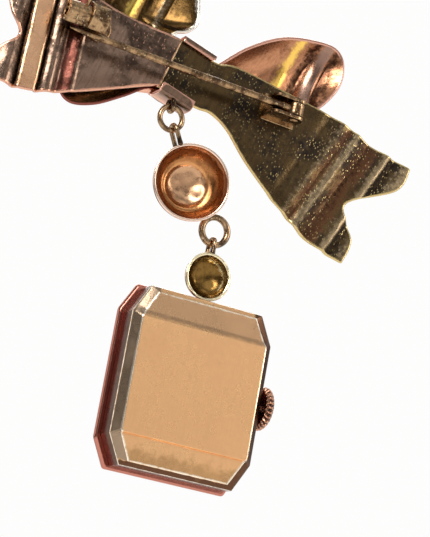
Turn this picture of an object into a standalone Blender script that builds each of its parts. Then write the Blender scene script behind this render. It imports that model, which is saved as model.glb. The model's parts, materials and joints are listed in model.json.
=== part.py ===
"""A fob watch that hangs from a bow brooch: sheet bow, pin and catch, two domes on rings, watch and movement.

The bow's back and the watch's back face +Y, the dial faces -Y, and +Z is up as it is worn. Sizes are in
millimetres and are scaled to metres as each mesh is made. The origin is the middle of the brooch pin.
"""

import math

import bmesh
import bpy
from mathutils import Matrix, Vector

MM = 0.001
GAP = 0.03

# The bow: a frame of its own at the middle of the knot, leaning with the bow
BOW_AT = (-1.15, 0.0, 0.2)
BOW_LEAN = -26.6
SHEET = 0.35
TAIL_Y = -2.5
LOOP_Y = -3.95
LOOP_DEPTH = 2.3
KNOT_HALF_WIDTH = 2.2
KNOT_HALF_HEIGHT = 3.6
KNOT_FRONT_Y = -6.7
KNOT_BACK_Y = -1.75
ROOT_HALF_HEIGHT = 2.9
RIPPLE_LENGTH = 2.9
RIPPLE_SLANT = 0.25
FLAT_SHARE = 0.46

# The brooch pin: a frame of its own at the origin, leaning with the pin
PIN_LEAN = -13.3
PIN_RADIUS = 0.4
PIN_TIP_X = 13.6
PIN_HINGE_X = -13.3
EYE_RADIUS = 0.95
EYE_HALF_WIDTH = 0.7
RIVET_RADIUS = 0.36
EAR_INNER_Z = 0.75
EAR_OUTER_Z = 1.15
CATCH_X = 11.0
CATCH_Z = 1.75
CATCH_OUTER = 1.65
CATCH_INNER = 1.2
ROLLER_OUTER = 1.15
ROLLER_INNER = 0.6
MOUTH_HALF_ANGLE = 28.0

# The hanging chain, in the bow's upright world frame
CHAIN_Y = -2.5
RING_WIRE = 0.29
LOOP_WIRE = 0.25
RING_AT = (0.63, CHAIN_Y, -4.75)
RING_RADIUS = 1.3
BAIL_RADIUS = 0.68
BAIL_LOW_Z = RING_AT[2] + RING_RADIUS - RING_WIRE - LOOP_WIRE - GAP
BIG_DOME_AT = (-1.37, -1.5, -11.62)
BIG_DOME_RADIUS = 4.2
BIG_DOME_DEPTH = 3.3
BIG_DOME_YAW = -10.0
LINK_RADIUS = 1.5
LINK_WIRE = 0.36
LINK_AT = (-4.5, CHAIN_Y, -16.5)
SMALL_DOME_RADIUS = 2.6
SMALL_DOME_DEPTH = 2.1
DOME_WALL = 0.3
STAPLE_RADIUS = 0.68
LEG_GAP = 0.12

# The watch: a frame of its own at the middle of the case, leaning with the watch
WATCH_AT = (-0.97, 0.0, -33.5)
WATCH_LEAN = -11.2
SMALL_DOME_Z = 12.15
CORNER = (1.6, 3.0)
BACK_FACE = (7.25, 8.84)
BACK_RIM = (8.1, 9.42)
MIDDLE = (8.0, 9.45)
BEZEL = (8.55, 9.85)
OPENING = (6.3, 7.7)
DIAL = (6.95, 8.45)
PLATE = (6.5, 8.0)
PANEL_HALF_HEIGHT = 6.15
BACK_FACE_Y = 0.3
BACK_RIM_Y = -1.85
MIDDLE_FRONT_Y = -3.2
BEZEL_FRONT_Y = -4.6
CRYSTAL_FRONT_Y = -5.3
DIAL_Y = (-3.75, -3.55)
PLATE_Y = (-3.0, -2.75)
BRIDGE_Y = (-1.15, -0.9)

# The dial reads upside down as it hangs, right way up for the wearer; the hands rest at eight past ten
HOUR_HAND_ANGLE = 304.0
MINUTE_HAND_ANGLE = 48.0

# Winding work; the stem runs along the case's own X, out of its -X side
STEM_Y = -2.2
STEM_RADIUS = 0.35
CROWN_RADIUS = 2.35
CROWN_X = (-9.6, -8.62)
CROWN_RIDGES = 26
WINDING_PINION_X = -4.4
WINDING_PINION_RADIUS = 1.12
CROWN_WHEEL_AT = (-2.64, 0.0)
CROWN_WHEEL_TEETH = 20
RATCHET_TEETH = 32
BARREL_AT = (0.7, 3.17)

# The going train: centres and teeth, from which the pitch radii follow
FINE_TEETH = 24
CENTRE_AT = (0.0, 0.0)
BARREL_TEETH = 42
CENTRE_PINION_TEETH = 7
CENTRE_TEETH = 48
THIRD_PINION_TEETH = 6
THIRD_AT = (2.41, -1.23)
THIRD_TEETH = 45
FOURTH_PINION_TEETH = 6
FOURTH_AT = (0.97, -2.67)
FOURTH_TEETH = 60
ESCAPE_PINION_TEETH = 6
ESCAPE_AT = (-0.58, -3.35)
ESCAPE_TEETH = 15
ESCAPE_RADIUS = 0.9
TRAIN_PIVOTS_Y = (-2.95, -0.95)
PALLET_AT = (-1.64, -4.15)
BALANCE_AT = (-2.65, -4.9)
BALANCE_RADIUS = 2.0

# Motion work, between the dial and the plate
CANNON_TEETH = 10
MINUTE_TEETH = 30
MINUTE_PINION_TEETH = 8
HOUR_TEETH = 32
MINUTE_AT = (0.0, 1.68)

ROSE = (0.80, 0.45, 0.33)
GOLD = (0.83, 0.62, 0.30)
OLIVE = (0.30, 0.25, 0.16)
STEEL = (0.62, 0.62, 0.64)
BRASS = (0.72, 0.58, 0.30)
NICKEL = (0.66, 0.64, 0.60)


def clear_scene():
    for old in list(bpy.data.objects):
        bpy.data.objects.remove(old, do_unlink=True)


def empty(name, at=(0.0, 0.0, 0.0), parent=None, lean=0.0):
    """An axis frame: a plain empty at a point, leaning about Y by some degrees."""
    frame = bpy.data.objects.new(name, None)
    bpy.context.scene.collection.objects.link(frame)
    frame.parent = parent
    frame.location = Vector(at) * MM
    frame.rotation_euler = (0.0, math.radians(lean), 0.0)
    return frame


def paint(obj, colour, roughness, metallic):
    """Gives an object its own Principled material."""
    material = bpy.data.materials.new(obj.name + "_finish")
    material.use_nodes = True
    shader = material.node_tree.nodes["Principled BSDF"]
    shader.inputs["Base Color"].default_value = (*colour, 1.0)
    shader.inputs["Roughness"].default_value = roughness
    shader.inputs["Metallic"].default_value = metallic
    obj.data.materials.append(material)


def place(obj, parent, at, colour, roughness=0.35, metallic=1.0):
    bpy.context.scene.collection.objects.link(obj)
    obj.parent = parent
    obj.location = Vector(at) * MM
    paint(obj, colour, roughness, metallic)
    return obj


def mesh_object(name, bm, turn=None):
    """Makes a mesh object from a bmesh in millimetres, turned first if asked."""
    if turn is not None:
        bmesh.ops.transform(bm, matrix=turn, verts=bm.verts)
    bmesh.ops.scale(bm, vec=(MM, MM, MM), verts=bm.verts)
    bmesh.ops.recalc_face_normals(bm, faces=bm.faces)
    mesh = bpy.data.meshes.new(name)
    bm.to_mesh(mesh)
    bm.free()
    mesh.shade_smooth()
    mesh.set_sharp_from_angle(angle=math.radians(40))
    return bpy.data.objects.new(name, mesh)


def combine(obj, other, operation):
    """Adds or cuts a helper, which then stays out of the model."""
    bpy.context.scene.collection.objects.link(other)
    other.parent = obj
    other.hide_render = True
    other.display_type = "WIRE"
    change = obj.modifiers.new(operation.title(), "BOOLEAN")
    change.operation = operation
    change.object = other
    change.solver = "EXACT"
    return obj


def circle(radius, steps, centre=(0.0, 0.0), start=0.0):
    angles = [start + math.tau * k / steps for k in range(steps)]
    return [(centre[0] + radius * math.cos(a), centre[1] + radius * math.sin(a)) for a in angles]


def arc(radius, first, last, steps, centre=(0.0, 0.0)):
    angles = [math.radians(first + (last - first) * k / steps) for k in range(steps + 1)]
    return [(centre[0] + radius * math.cos(a), centre[1] + radius * math.sin(a)) for a in angles]


def smooth_path(points, steps, closed=False):
    """Points on a Catmull-Rom curve through a few guide points."""
    count = len(points)
    spans = count if closed else count - 1
    found = []
    for k in range(spans):
        if closed:
            a, b, c, d = (Vector(points[(k + n) % count]) for n in (-1, 0, 1, 2))
        else:
            a, b, c, d = (Vector(points[min(max(k + n, 0), count - 1)]) for n in (-1, 0, 1, 2))
        for step in range(steps):
            t = step / steps
            curve = 2 * b + (c - a) * t + (2 * a - 5 * b + 4 * c - d) * t**2
            found.append((curve + (3 * b - a - 3 * c + d) * t**3) / 2)
    if not closed:
        found.append(Vector(points[-1]))
    return found


def along(path, share):
    """The point at this share of a path's length."""
    lengths = [(q - p).length for p, q in zip(path, path[1:])]
    left = share * sum(lengths)
    for (p, q), length in zip(zip(path, path[1:]), lengths):
        if left <= length:
            return p.lerp(q, left / length)
        left -= length
    return path[-1]


def plate(loops, back, front):
    """A flat plate in the XZ plane between two Y values, from its outline and its holes."""
    bm = bmesh.new()
    for loop in loops:
        verts = [bm.verts.new((x, back, z)) for x, z in loop]
        for one, other in zip(verts, verts[1:] + verts[:1]):
            bm.edges.new((one, other))
    bmesh.ops.triangle_fill(bm, use_beauty=True, edges=bm.edges[:])
    made = bmesh.ops.extrude_face_region(bm, geom=bm.faces[:])
    moved = [item for item in made["geom"] if isinstance(item, bmesh.types.BMVert)]
    bmesh.ops.translate(bm, vec=(0.0, front - back, 0.0), verts=moved)
    return bm


def loft(rings, closed=False):
    """A skin through rings of equally many points: capped at both ends, or closed on itself."""
    bm = bmesh.new()
    rows = [[bm.verts.new(point) for point in ring] for ring in rings]
    pairs = list(zip(rows, rows[1:]))
    if closed:
        pairs.append((rows[-1], rows[0]))
    for one, other in pairs:
        for k in range(len(one)):
            nearby = (k + 1) % len(one)
            bm.faces.new((one[k], one[nearby], other[nearby], other[k]))
    if not closed:
        bm.faces.new(rows[0])
        bm.faces.new(rows[-1][::-1])
    return bm


def octagon(half_sizes, y, shrink=0.0, corner=CORNER):
    """The case's outline: a rectangle with clipped corners, at one height."""
    w, h = (half - shrink for half in half_sizes)
    cut_w, cut_h = corner
    quarter = [(w, h - cut_h), (w - cut_w, h)]
    points = quarter + [(-x, z) for x, z in quarter[::-1]]
    points += [(-x, -z) for x, z in quarter] + [(x, -z) for x, z in quarter[::-1]]
    return [(x, y, z) for x, z in points]


def turned(profile, steps=24):
    """A profile of (radius, height) points, closed on itself or from pole to pole, spun about Y."""
    bm = bmesh.new()
    verts = [bm.verts.new((radius, height, 0.0)) for radius, height in profile]
    edges = [bm.edges.new(pair) for pair in zip(verts, verts[1:])]
    if profile[0][0] > 0 and profile[-1][0] > 0:
        edges.append(bm.edges.new((verts[-1], verts[0])))
    bmesh.ops.spin(bm, geom=verts + edges, cent=(0, 0, 0), axis=(0, 1, 0), angle=math.tau, steps=steps)
    bmesh.ops.remove_doubles(bm, verts=bm.verts, dist=1e-4)
    return bm


def rod(radius, low, high, steps=16):
    return turned([(0.0, low), (radius, low), (radius, high), (0.0, high)], steps)


def torus(radius, wire, steps=16):
    return turned([(radius + x, y) for x, y in circle(wire, 8)], steps)


def tube_object(name, points, wire, closed=False):
    """A round wire along a run of points, with capped ends."""
    curve = bpy.data.curves.new(name, "CURVE")
    curve.dimensions = "3D"
    curve.bevel_depth = wire * MM
    curve.bevel_resolution = 2
    curve.use_fill_caps = True
    spline = curve.splines.new("POLY")
    spline.points.add(len(points) - 1)
    spline.use_cyclic_u = closed
    spline.use_smooth = True
    for vertex, point in zip(spline.points, points):
        vertex.co = (*(Vector(point) * MM), 1.0)
    return bpy.data.objects.new(name, curve)


def thicken(obj, thickness):
    wall = obj.modifiers.new("Sheet", "SOLIDIFY")
    wall.thickness = thickness * MM
    wall.offset = 0.0
    return obj


def gear(teeth, radius, start=0.0):
    """A toothed outline; start is the angle of the middle of its first tooth. Fine teeth are pointed."""
    module = 2 * radius / teeth
    pitch = math.tau / teeth
    sides = ((-0.27, -1.1), (-0.12, 0.85), (0.12, 0.85), (0.27, -1.1))
    if teeth > FINE_TEETH:
        sides = ((-0.25, -1.1), (0.0, 0.95), (0.25, -1.1))
    points = []
    for tooth in range(teeth):
        for share, reach in sides:
            angle = start + (tooth + share) * pitch
            r = radius + reach * module
            points.append((r * math.cos(angle), r * math.sin(angle)))
    return points


def pitch_radii(one_at, one_teeth, other_at, other_teeth):
    """The pitch radii of two gears in mesh, from their centres and their teeth."""
    share = math.dist(one_at, other_at) / (one_teeth + other_teeth)
    return share * one_teeth, share * other_teeth


def meshing_start(driver_at, driver_teeth, driver_start, at, teeth):
    """Where a gear's first tooth goes, so that a tooth faces a gap on the line between two centres."""
    toward = math.atan2(at[1] - driver_at[1], at[0] - driver_at[0])
    share = (toward - driver_start) * driver_teeth / math.tau
    return toward + math.pi - (0.5 - share) * math.tau / teeth


# ---------------------------------------------------------------- bow


def ripple(x, z, first, height):
    """How far the sheet waves in Y: its crests cross the tail with a slant and grow towards its end."""
    run = abs(x) - RIPPLE_SLANT * z - first
    if run <= 0:
        return 0.0
    swell = min(1.0, run / RIPPLE_LENGTH)
    return height * swell * math.sin(math.tau * run / RIPPLE_LENGTH)


def tail(name, bow, top, end, bottom, first_ripple, ripple_height):
    """A ribbon tail: a patch between four edges, waved towards its end, with a notched end."""
    rows, flat_columns, waved_columns = 7, 5, 28
    shares = [FLAT_SHARE * k / flat_columns for k in range(flat_columns)]
    shares += [FLAT_SHARE + (1 - FLAT_SHARE) * k / waved_columns for k in range(waved_columns + 1)]
    top_path = smooth_path(top, 6)
    bottom_path = smooth_path(bottom, 6)
    end_path = [Vector(point) for point in end]
    corners = (top_path[0], top_path[-1], bottom_path[0], bottom_path[-1])
    bm = bmesh.new()
    grid = []
    for row in range(rows):
        v = row / (rows - 1)
        root_point = corners[0].lerp(corners[2], v)
        end_point = along(end_path, v)
        line = []
        for u in shares:
            across = along(top_path, u).lerp(along(bottom_path, u), v)
            lengthwise = root_point.lerp(end_point, u)
            flat = corners[0].lerp(corners[1], u).lerp(corners[2].lerp(corners[3], u), v)
            x, z = across + lengthwise - flat
            line.append(bm.verts.new((x, TAIL_Y + ripple(x, z, first_ripple, ripple_height), z)))
        grid.append(line)
    for one, other in zip(grid, grid[1:]):
        for k in range(len(shares) - 1):
            bm.faces.new((one[k], one[k + 1], other[k + 1], other[k]))
    obj = thicken(mesh_object(name, bm), SHEET)
    return place(obj, bow, (0, 0, 0), OLIVE, 0.42)


def leaf(name, bow, outline, centre, depth, base=LOOP_Y):
    """A dished leaf of the bow, hollow towards the back: rings that shrink from its rim to its middle."""
    rim = smooth_path(outline, 2, closed=True)
    middle = Vector(centre)
    bm = bmesh.new()
    rings = []
    for share in (1.0, 0.93, 0.75, 0.5, 0.25):
        y = base - depth * (1.0 - share**2.4)
        ring = [middle.lerp(point, share) for point in rim]
        rings.append([bm.verts.new((x, y, z)) for x, z in ring])
    pole = bm.verts.new((middle.x, base - depth, middle.y))
    for one, other in zip(rings, rings[1:]):
        for k in range(len(rim)):
            nearby = (k + 1) % len(rim)
            bm.faces.new((one[k], one[nearby], other[nearby], other[k]))
    for k in range(len(rim)):
        bm.faces.new((rings[-1][k], rings[-1][(k + 1) % len(rim)], pole))
    obj = thicken(mesh_object(name, bm), SHEET)
    return place(obj, bow, (0, 0, 0), GOLD, 0.38)


def knot(bow):
    """The band round the middle of the bow: a puffed front whose ends fold over the back."""
    outer, inner = KNOT_HALF_HEIGHT, KNOT_HALF_HEIGHT - SHEET
    back, front = KNOT_BACK_Y, KNOT_FRONT_Y
    shell = [(back, outer - 0.75), (back, outer - 0.1), (back - 0.2, outer)]
    shell += [(-4.2, outer), (-5.6, 3.1), (-6.4, 2.0), (front, 0.6), (front, -0.6), (-6.4, -2.0)]
    shell += [(-5.6, -3.1), (-4.2, -outer), (back - 0.2, -outer), (back, 0.1 - outer)]
    shell += [(back, 1.3 - outer), (back - SHEET, 1.3 - outer), (back - SHEET, -inner)]
    shell += [(-4.2, -inner), (-5.35, -2.85), (-6.1, -1.85), (front + SHEET, -0.5)]
    shell += [(front + SHEET, 0.5), (-6.1, 1.85), (-5.35, 2.85), (-4.2, inner)]
    shell += [(back - SHEET, inner), (back - SHEET, outer - 0.75)]
    half = KNOT_HALF_WIDTH
    bm = plate([shell], -half, half)
    sideways = Matrix(((0, 1, 0, 0), (1, 0, 0, 0), (0, 0, 1, 0), (0, 0, 0, 1)))
    obj = mesh_object("knot", bm, sideways)
    return place(obj, bow, (0, 0, 0), ROSE, 0.3)


def build_bow():
    bow = empty("bow_frame", BOW_AT, lean=BOW_LEAN)
    root = ROOT_HALF_HEIGHT
    tail(
        "right_tail",
        bow,
        top=[(-0.05, root), (-2.4, root), (-5.0, 3.9), (-11.6, 4.7), (-18.4, 5.3), (-23.0, 4.9)]
        + [(-28.2, 5.1)],
        end=[(-28.2, 5.1), (-27.7, 2.1), (-22.8, -2.6), (-25.2, -5.9), (-25.2, -8.7)],
        bottom=[(-0.05, -root), (-2.4, -2.6), (-4.4, -2.2), (-6.9, -2.8), (-11.1, -5.1), (-19.4, -8.3)]
        + [(-25.2, -8.7)],
        first_ripple=14.6,
        ripple_height=0.6,
    )
    tail(
        "left_tail",
        bow,
        top=[(0.05, root), (2.4, root), (9.0, 1.8), (14.0, 1.7), (18.2, 1.4), (22.5, -0.4)],
        end=[(22.5, -0.4), (19.9, -4.5), (17.9, -6.4), (19.1, -8.8), (20.5, -12.1)],
        bottom=[(0.05, -root), (2.5, -root), (10.3, -8.6), (15.3, -11.4), (20.5, -12.1)],
        first_ripple=12.4,
        ripple_height=-0.75,
    )
    leaf(
        "right_loop",
        bow,
        outline=[(-0.5, 1.2), (-2.6, 2.7), (-5.4, 7.2), (-8.7, 10.7), (-12.6, 12.7), (-15.0, 13.1)]
        + [(-16.5, 11.8), (-16.9, 9.0), (-15.2, 5.0), (-11.5, 1.8), (-7.0, -0.4), (-3.0, -1.6), (-0.5, -1.2)],
        centre=(-10.0, 6.0),
        depth=LOOP_DEPTH,
    )
    leaf(
        "upper_loop",
        bow,
        outline=[(0.5, 1.2), (2.6, 2.8), (2.7, 4.0), (1.6, 4.9), (1.0, 6.3), (1.7, 8.2), (3.0, 10.3)]
        + [(5.4, 11.9), (8.7, 11.6), (12.1, 9.4), (13.9, 5.9), (12.8, 2.3), (9.0, -0.2), (5.0, -1.2)]
        + [(2.6, -1.3), (0.5, -1.0)],
        centre=(7.0, 4.8),
        depth=LOOP_DEPTH,
    )
    leaf(
        "lower_leaf",
        bow,
        outline=[(0.45, -1.8), (0.45, -2.4), (2.6, -2.9), (4.8, -5.4), (7.2, -7.9), (9.6, -9.2), (11.2, -8.4)]
        + [(11.0, -5.6), (8.0, -3.0), (4.4, -1.9)],
        centre=(6.2, -4.9),
        depth=1.0,
    )
    knot(bow)
    build_bail()


def build_bail():
    """The fixed loop under the knot: a staple whose legs end on the knot's underside."""
    x, _, z = RING_AT
    legs = arc(BAIL_RADIUS, 180, 360, 10, (CHAIN_Y, BAIL_LOW_Z + BAIL_RADIUS))
    top = z + RING_RADIUS + 0.38
    run = [(CHAIN_Y - BAIL_RADIUS, top)] + legs + [(CHAIN_Y + BAIL_RADIUS, top)]
    obj = tube_object("bow_bail", [(x, a, b) for a, b in run], LOOP_WIRE)
    place(obj, None, (0, 0, 0), GOLD, 0.25)


# ---------------------------------------------------------------- pin and catch


def build_pin():
    frame = empty("pin_frame", lean=PIN_LEAN)
    stem_length = PIN_TIP_X - PIN_HINGE_X
    radii = [(0.0, 0.2), (0.5, 0.2), (0.5, 1.6), (PIN_RADIUS, 3.0), (PIN_RADIUS - 0.05, stem_length - 3.0)]
    radii += [(0.22, stem_length - 0.8), (0.05, stem_length), (0.0, stem_length)]
    stem = mesh_object("stem_helper", turned(radii, 12), Matrix.Rotation(-math.pi / 2, 4, "Z"))
    eye = turned([(RIVET_RADIUS + 0.05, -EYE_HALF_WIDTH), (EYE_RADIUS, -EYE_HALF_WIDTH)]
                 + [(EYE_RADIUS, EYE_HALF_WIDTH), (RIVET_RADIUS + 0.05, EYE_HALF_WIDTH)], 20)
    pin = mesh_object("pin_stem", eye, Matrix.Rotation(math.pi / 2, 4, "X"))
    combine(pin, stem, "UNION")
    upright = Matrix.Rotation(math.pi / 2, 4, "X")
    bore = mesh_object("eye_helper", rod(RIVET_RADIUS + 0.05, -2.0, 2.0, 20), upright)
    combine(pin, bore, "DIFFERENCE")
    place(pin, frame, (PIN_HINGE_X, 0, 0), GOLD, 0.25)
    build_hinge(frame)
    build_catch(frame)


def build_hinge(frame):
    """A folded bracket on the bow with two ears, and the rivet that the pin turns on."""
    floor, base, crest = TAIL_Y + SHEET / 2 + GAP, TAIL_Y + SHEET / 2 + 0.35, 0.85
    out, inside = EAR_OUTER_Z, EAR_INNER_Z
    section = [(floor, -out - 0.35), (base, -out - 0.35), (base, -out), (crest, -out), (crest, -inside)]
    section += [(base, -inside), (base, inside), (crest, inside), (crest, out), (base, out)]
    section += [(base, out + 0.35), (floor, out + 0.35)]
    lengthwise = Matrix(((0, 1, 0, 0), (1, 0, 0, 0), (0, 0, 1, 0), (0, 0, 0, 1)))
    bracket = mesh_object("pin_bracket", plate([section], -1.1, 2.9), lengthwise)
    upright = Matrix.Rotation(math.pi / 2, 4, "X")
    hole = mesh_object("ear_helper", rod(RIVET_RADIUS + 0.03, -3.0, 3.0, 20), upright)
    combine(bracket, hole, "DIFFERENCE")
    place(bracket, frame, (PIN_HINGE_X, 0, 0), GOLD, 0.3)
    head = out + 0.05
    profile = [(0.0, -head - 0.25), (0.5, -head - 0.2), (0.62, -head), (RIVET_RADIUS, -head)]
    profile += [(RIVET_RADIUS, head), (0.62, head), (0.5, head + 0.2), (0.0, head + 0.25)]
    rivet = mesh_object("pin_rivet", turned(profile, 20), upright)
    place(rivet, frame, (PIN_HINGE_X, 0, 0), GOLD, 0.3)


def hook_section(outer, inner, foot=None):
    """A C section in the YZ plane whose mouth looks down to the pin, on a foot if asked."""
    first, last = -90 + MOUTH_HALF_ANGLE, 270 - MOUTH_HALF_ANGLE
    if foot is None:
        rim = arc(outer, first, last, 26)
    else:
        rim = arc(outer, first, 150, 18)
        rim += [(foot, 0.85), (foot, -0.85)]
        rim += arc(outer, 210, last, 6)
    return rim + arc(inner, last, first, 26)


def build_catch(frame):
    """A safety catch: a C housing on a foot, and a turning C roller inside with a lever."""
    lengthwise = Matrix(((0, 1, 0, 0), (1, 0, 0, 0), (0, 0, 1, 0), (0, 0, 0, 1)))
    foot = TAIL_Y + SHEET / 2 + GAP
    section = hook_section(CATCH_OUTER, CATCH_INNER, foot + 0.1)
    housing = mesh_object("catch_housing", plate([section], -1.0, 1.0), lengthwise)
    base = mesh_object("foot_helper", rod(1.45, foot, foot + 0.3, 20), Matrix.Translation((-1.2, 0, 0)))
    combine(housing, base, "UNION")
    place(housing, frame, (CATCH_X, 0, CATCH_Z), GOLD, 0.3)
    curl = plate([hook_section(ROLLER_OUTER, ROLLER_INNER)], -1.2, 3.4)
    roller = mesh_object("catch_roller", curl, lengthwise)
    lever = mesh_object("lever_helper", rod(0.22, 0.8, 2.2, 10),
                        Matrix.Translation((1.45, 0, 0)) @ Matrix.Rotation(math.radians(60), 4, "X"))
    combine(roller, lever, "UNION")
    place(roller, frame, (CATCH_X, 0, CATCH_Z), GOLD, 0.28)


# ---------------------------------------------------------------- hanging chain


def toward(start, end):
    """The unit vector and the distance from one point to another, both in the chain's plane."""
    run = Vector((end[0] - start[0], 0.0, end[2] - start[2]))
    return run.normalized(), run.length


def staple(name, parent, ring_at, ring_radius, ring_wire, end_at, reach):
    """A wire loop that hangs in a ring and runs down to what it is soldered to."""
    way, _ = toward(ring_at, end_at)
    radius = STAPLE_RADIUS
    apex = ring_radius - ring_wire - LOOP_WIRE - GAP
    turn = arc(radius, 180, 0, 10, (0.0, -apex - radius))
    run = [(-radius, -reach[0])] + turn + [(radius, -reach[1])]
    points = [way * -down + Vector((0.0, across, 0.0)) for across, down in run]
    obj = tube_object(name, points, LOOP_WIRE)
    return place(obj, parent, (0, 0, 0), GOLD, 0.25)


def dome(name, radius, depth, yaw, steps):
    """A thin round shell, hollow towards +Y, with its rim at Y 0."""
    angles = [math.pi / 2 * k / 6 for k in range(7)]
    outside = [(radius * math.sin(a), -depth * math.cos(a)) for a in angles]
    inner, floor = radius - DOME_WALL, depth - DOME_WALL
    inside = [(inner * math.sin(a), -floor * math.cos(a)) for a in angles[::-1]]
    return mesh_object(name, turned(outside + inside, steps), Matrix.Rotation(math.radians(yaw), 4, "Z"))


def leg_ends(distance, radius, depth):
    """How far down a staple's front and back legs go, to just clear of a dome whose rim is behind them."""
    rim_to_middle = BIG_DOME_AT[1] - CHAIN_Y
    below_rim = (rim_to_middle + STAPLE_RADIUS, rim_to_middle - STAPLE_RADIUS)
    return [distance - radius * math.sqrt(1 - (drop / depth) ** 2) - LEG_GAP for drop in below_rim]


def build_chain():
    """Jump ring, big dome on its loop and ring, and the empty that the watch swings on."""
    ring_pivot = empty("jump_ring_pivot", (RING_AT[0], CHAIN_Y, BAIL_LOW_Z + LOOP_WIRE))
    drop = (0, 0, RING_AT[2] - BAIL_LOW_Z - LOOP_WIRE)
    place(mesh_object("jump_ring", torus(RING_RADIUS, RING_WIRE)), ring_pivot, drop, GOLD, 0.25)
    dome_pivot = empty("dome_pivot", drop, ring_pivot)
    offset = Vector(BIG_DOME_AT) - Vector(RING_AT)
    shell = dome("big_dome", BIG_DOME_RADIUS, BIG_DOME_DEPTH, BIG_DOME_YAW, 24)
    place(shell, dome_pivot, offset, ROSE, 0.35)
    distance = toward(RING_AT, BIG_DOME_AT)[1]
    reach = leg_ends(distance, BIG_DOME_RADIUS, BIG_DOME_DEPTH)
    staple("big_dome_loop", dome_pivot, RING_AT, RING_RADIUS, RING_WIRE, BIG_DOME_AT, reach)
    link_offset = Vector(LINK_AT) - Vector(RING_AT)
    place(mesh_object("big_dome_ring", torus(LINK_RADIUS, LINK_WIRE)), dome_pivot, link_offset, GOLD, 0.25)
    return empty("watch_pivot", link_offset, dome_pivot)


def build_small_dome(watch_pivot, watch):
    """The small dome, soldered to the top of the case, and its loop through the big dome's ring."""
    shell = dome("small_dome", SMALL_DOME_RADIUS, SMALL_DOME_DEPTH, 0.0, 20)
    place(shell, watch, (0, BIG_DOME_AT[1], SMALL_DOME_Z), GOLD, 0.35)
    lean = math.radians(WATCH_LEAN)
    dome_at = (
        WATCH_AT[0] + SMALL_DOME_Z * math.sin(lean),
        CHAIN_Y,
        WATCH_AT[2] + SMALL_DOME_Z * math.cos(lean),
    )
    distance = toward(LINK_AT, dome_at)[1]
    reach = leg_ends(distance, SMALL_DOME_RADIUS, SMALL_DOME_DEPTH)
    staple("small_dome_loop", watch_pivot, LINK_AT, LINK_RADIUS, LINK_WIRE, dome_at, reach)


# ---------------------------------------------------------------- case


def build_case(watch):
    shell = [
        octagon(BACK_FACE, -0.25, 0.35),
        octagon(BACK_RIM, BACK_RIM_Y, 0.5),
        octagon(BACK_RIM, BACK_RIM_Y),
        octagon(BACK_RIM, -0.5, 0.05),
        octagon(BACK_FACE, 0.05),
    ]
    back = mesh_object("case_back", loft(shell))
    size, clip = (BACK_FACE[0] - 0.1, PANEL_HALF_HEIGHT), (0.05, 0.05)
    panel = [octagon(size, -0.05, 0.0, clip), octagon(size, BACK_FACE_Y, 0.2, clip)]
    combine(back, mesh_object("panel_helper", loft(panel)), "UNION")
    place(back, watch, (0, 0, 0), ROSE, 0.38)

    middle = [
        octagon(MIDDLE, BACK_RIM_Y - GAP),
        octagon(MIDDLE, MIDDLE_FRONT_Y),
        octagon(MIDDLE, MIDDLE_FRONT_Y, 0.75),
        octagon(MIDDLE, BACK_RIM_Y - GAP, 0.75),
    ]
    body = mesh_object("case_middle", loft(middle, closed=True))
    tube_hole = mesh_object("stem_hole_helper", rod(STEM_RADIUS + 0.1, -10.0, -6.0, 20), along_x(0.0))
    combine(body, tube_hole, "DIFFERENCE")
    place(body, watch, (0, 0, 0), ROSE, 0.22)

    bezel_back = MIDDLE_FRONT_Y - GAP
    bezel = [
        octagon(BEZEL, bezel_back, 0.15),
        octagon(BEZEL, bezel_back - 0.2),
        octagon(BEZEL, -3.8),
        octagon(BEZEL, BEZEL_FRONT_Y, 0.9),
        octagon(OPENING, BEZEL_FRONT_Y),
        octagon(OPENING, -4.05),
        octagon(BEZEL, -4.05, 1.35),
        octagon(BEZEL, bezel_back, 1.35),
    ]
    place(mesh_object("bezel", loft(bezel, closed=True)), watch, (0, 0, 0), ROSE, 0.18)

    crystal = [
        octagon(OPENING, -4.9, 2.8),
        octagon(OPENING, -4.72, 1.1),
        octagon(OPENING, -4.1, 0.7),
        octagon(OPENING, -4.1, GAP),
        octagon(OPENING, -4.75, GAP),
        octagon(OPENING, -5.12, 0.9),
        octagon(OPENING, CRYSTAL_FRONT_Y, 2.6),
    ]
    glass = mesh_object("crystal", loft(crystal))
    place(glass, watch, (0, 0, 0), (0.9, 0.92, 0.92), 0.05, 0.0)


def along_x(x):
    """Turns a shape spun about Y so that it runs along the case's X, on the stem's line."""
    return Matrix.Translation((x, STEM_Y, 0.0)) @ Matrix.Rotation(-math.pi / 2, 4, "Z")


def build_dial(watch):
    outline = [(x, z) for x, _, z in octagon(DIAL, 0.0)]
    dial = plate([outline, circle(0.62, 20)], *DIAL_Y)
    place(mesh_object("dial", dial), watch, (0, 0, 0), (0.86, 0.82, 0.72), 0.5, 0.2)
    hour = hand_outline(3.3, 0.42, 0.62, HOUR_HAND_ANGLE)
    obj = mesh_object("hour_hand", plate([hour, circle(0.5, 16)], -4.02, -3.9))
    place(obj, watch, (0, 0, 0), (0.05, 0.05, 0.08), 0.3)
    minute = hand_outline(5.0, 0.3, 0.5, MINUTE_HAND_ANGLE)
    obj = mesh_object("minute_hand", plate([minute, circle(0.3, 16)], -4.26, -4.14))
    place(obj, watch, (0, 0, 0), (0.05, 0.05, 0.08), 0.3)


def hand_outline(length, width, boss, clock_angle):
    """A tapered hand with a round boss. Its angle is clockwise from the 12, which is at the bottom."""
    ring = arc(boss, 90 + 22, 360 + 90 - 22, 14)
    ring += [(width / 2, length * 0.35), (0.05, length), (-0.05, length), (-width / 2, length * 0.35)]
    turn = math.radians(180 - clock_angle)
    c, s = math.cos(turn), math.sin(turn)
    return [(x * c - z * s, x * s + z * c) for x, z in ring]


# ---------------------------------------------------------------- winding work


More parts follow.
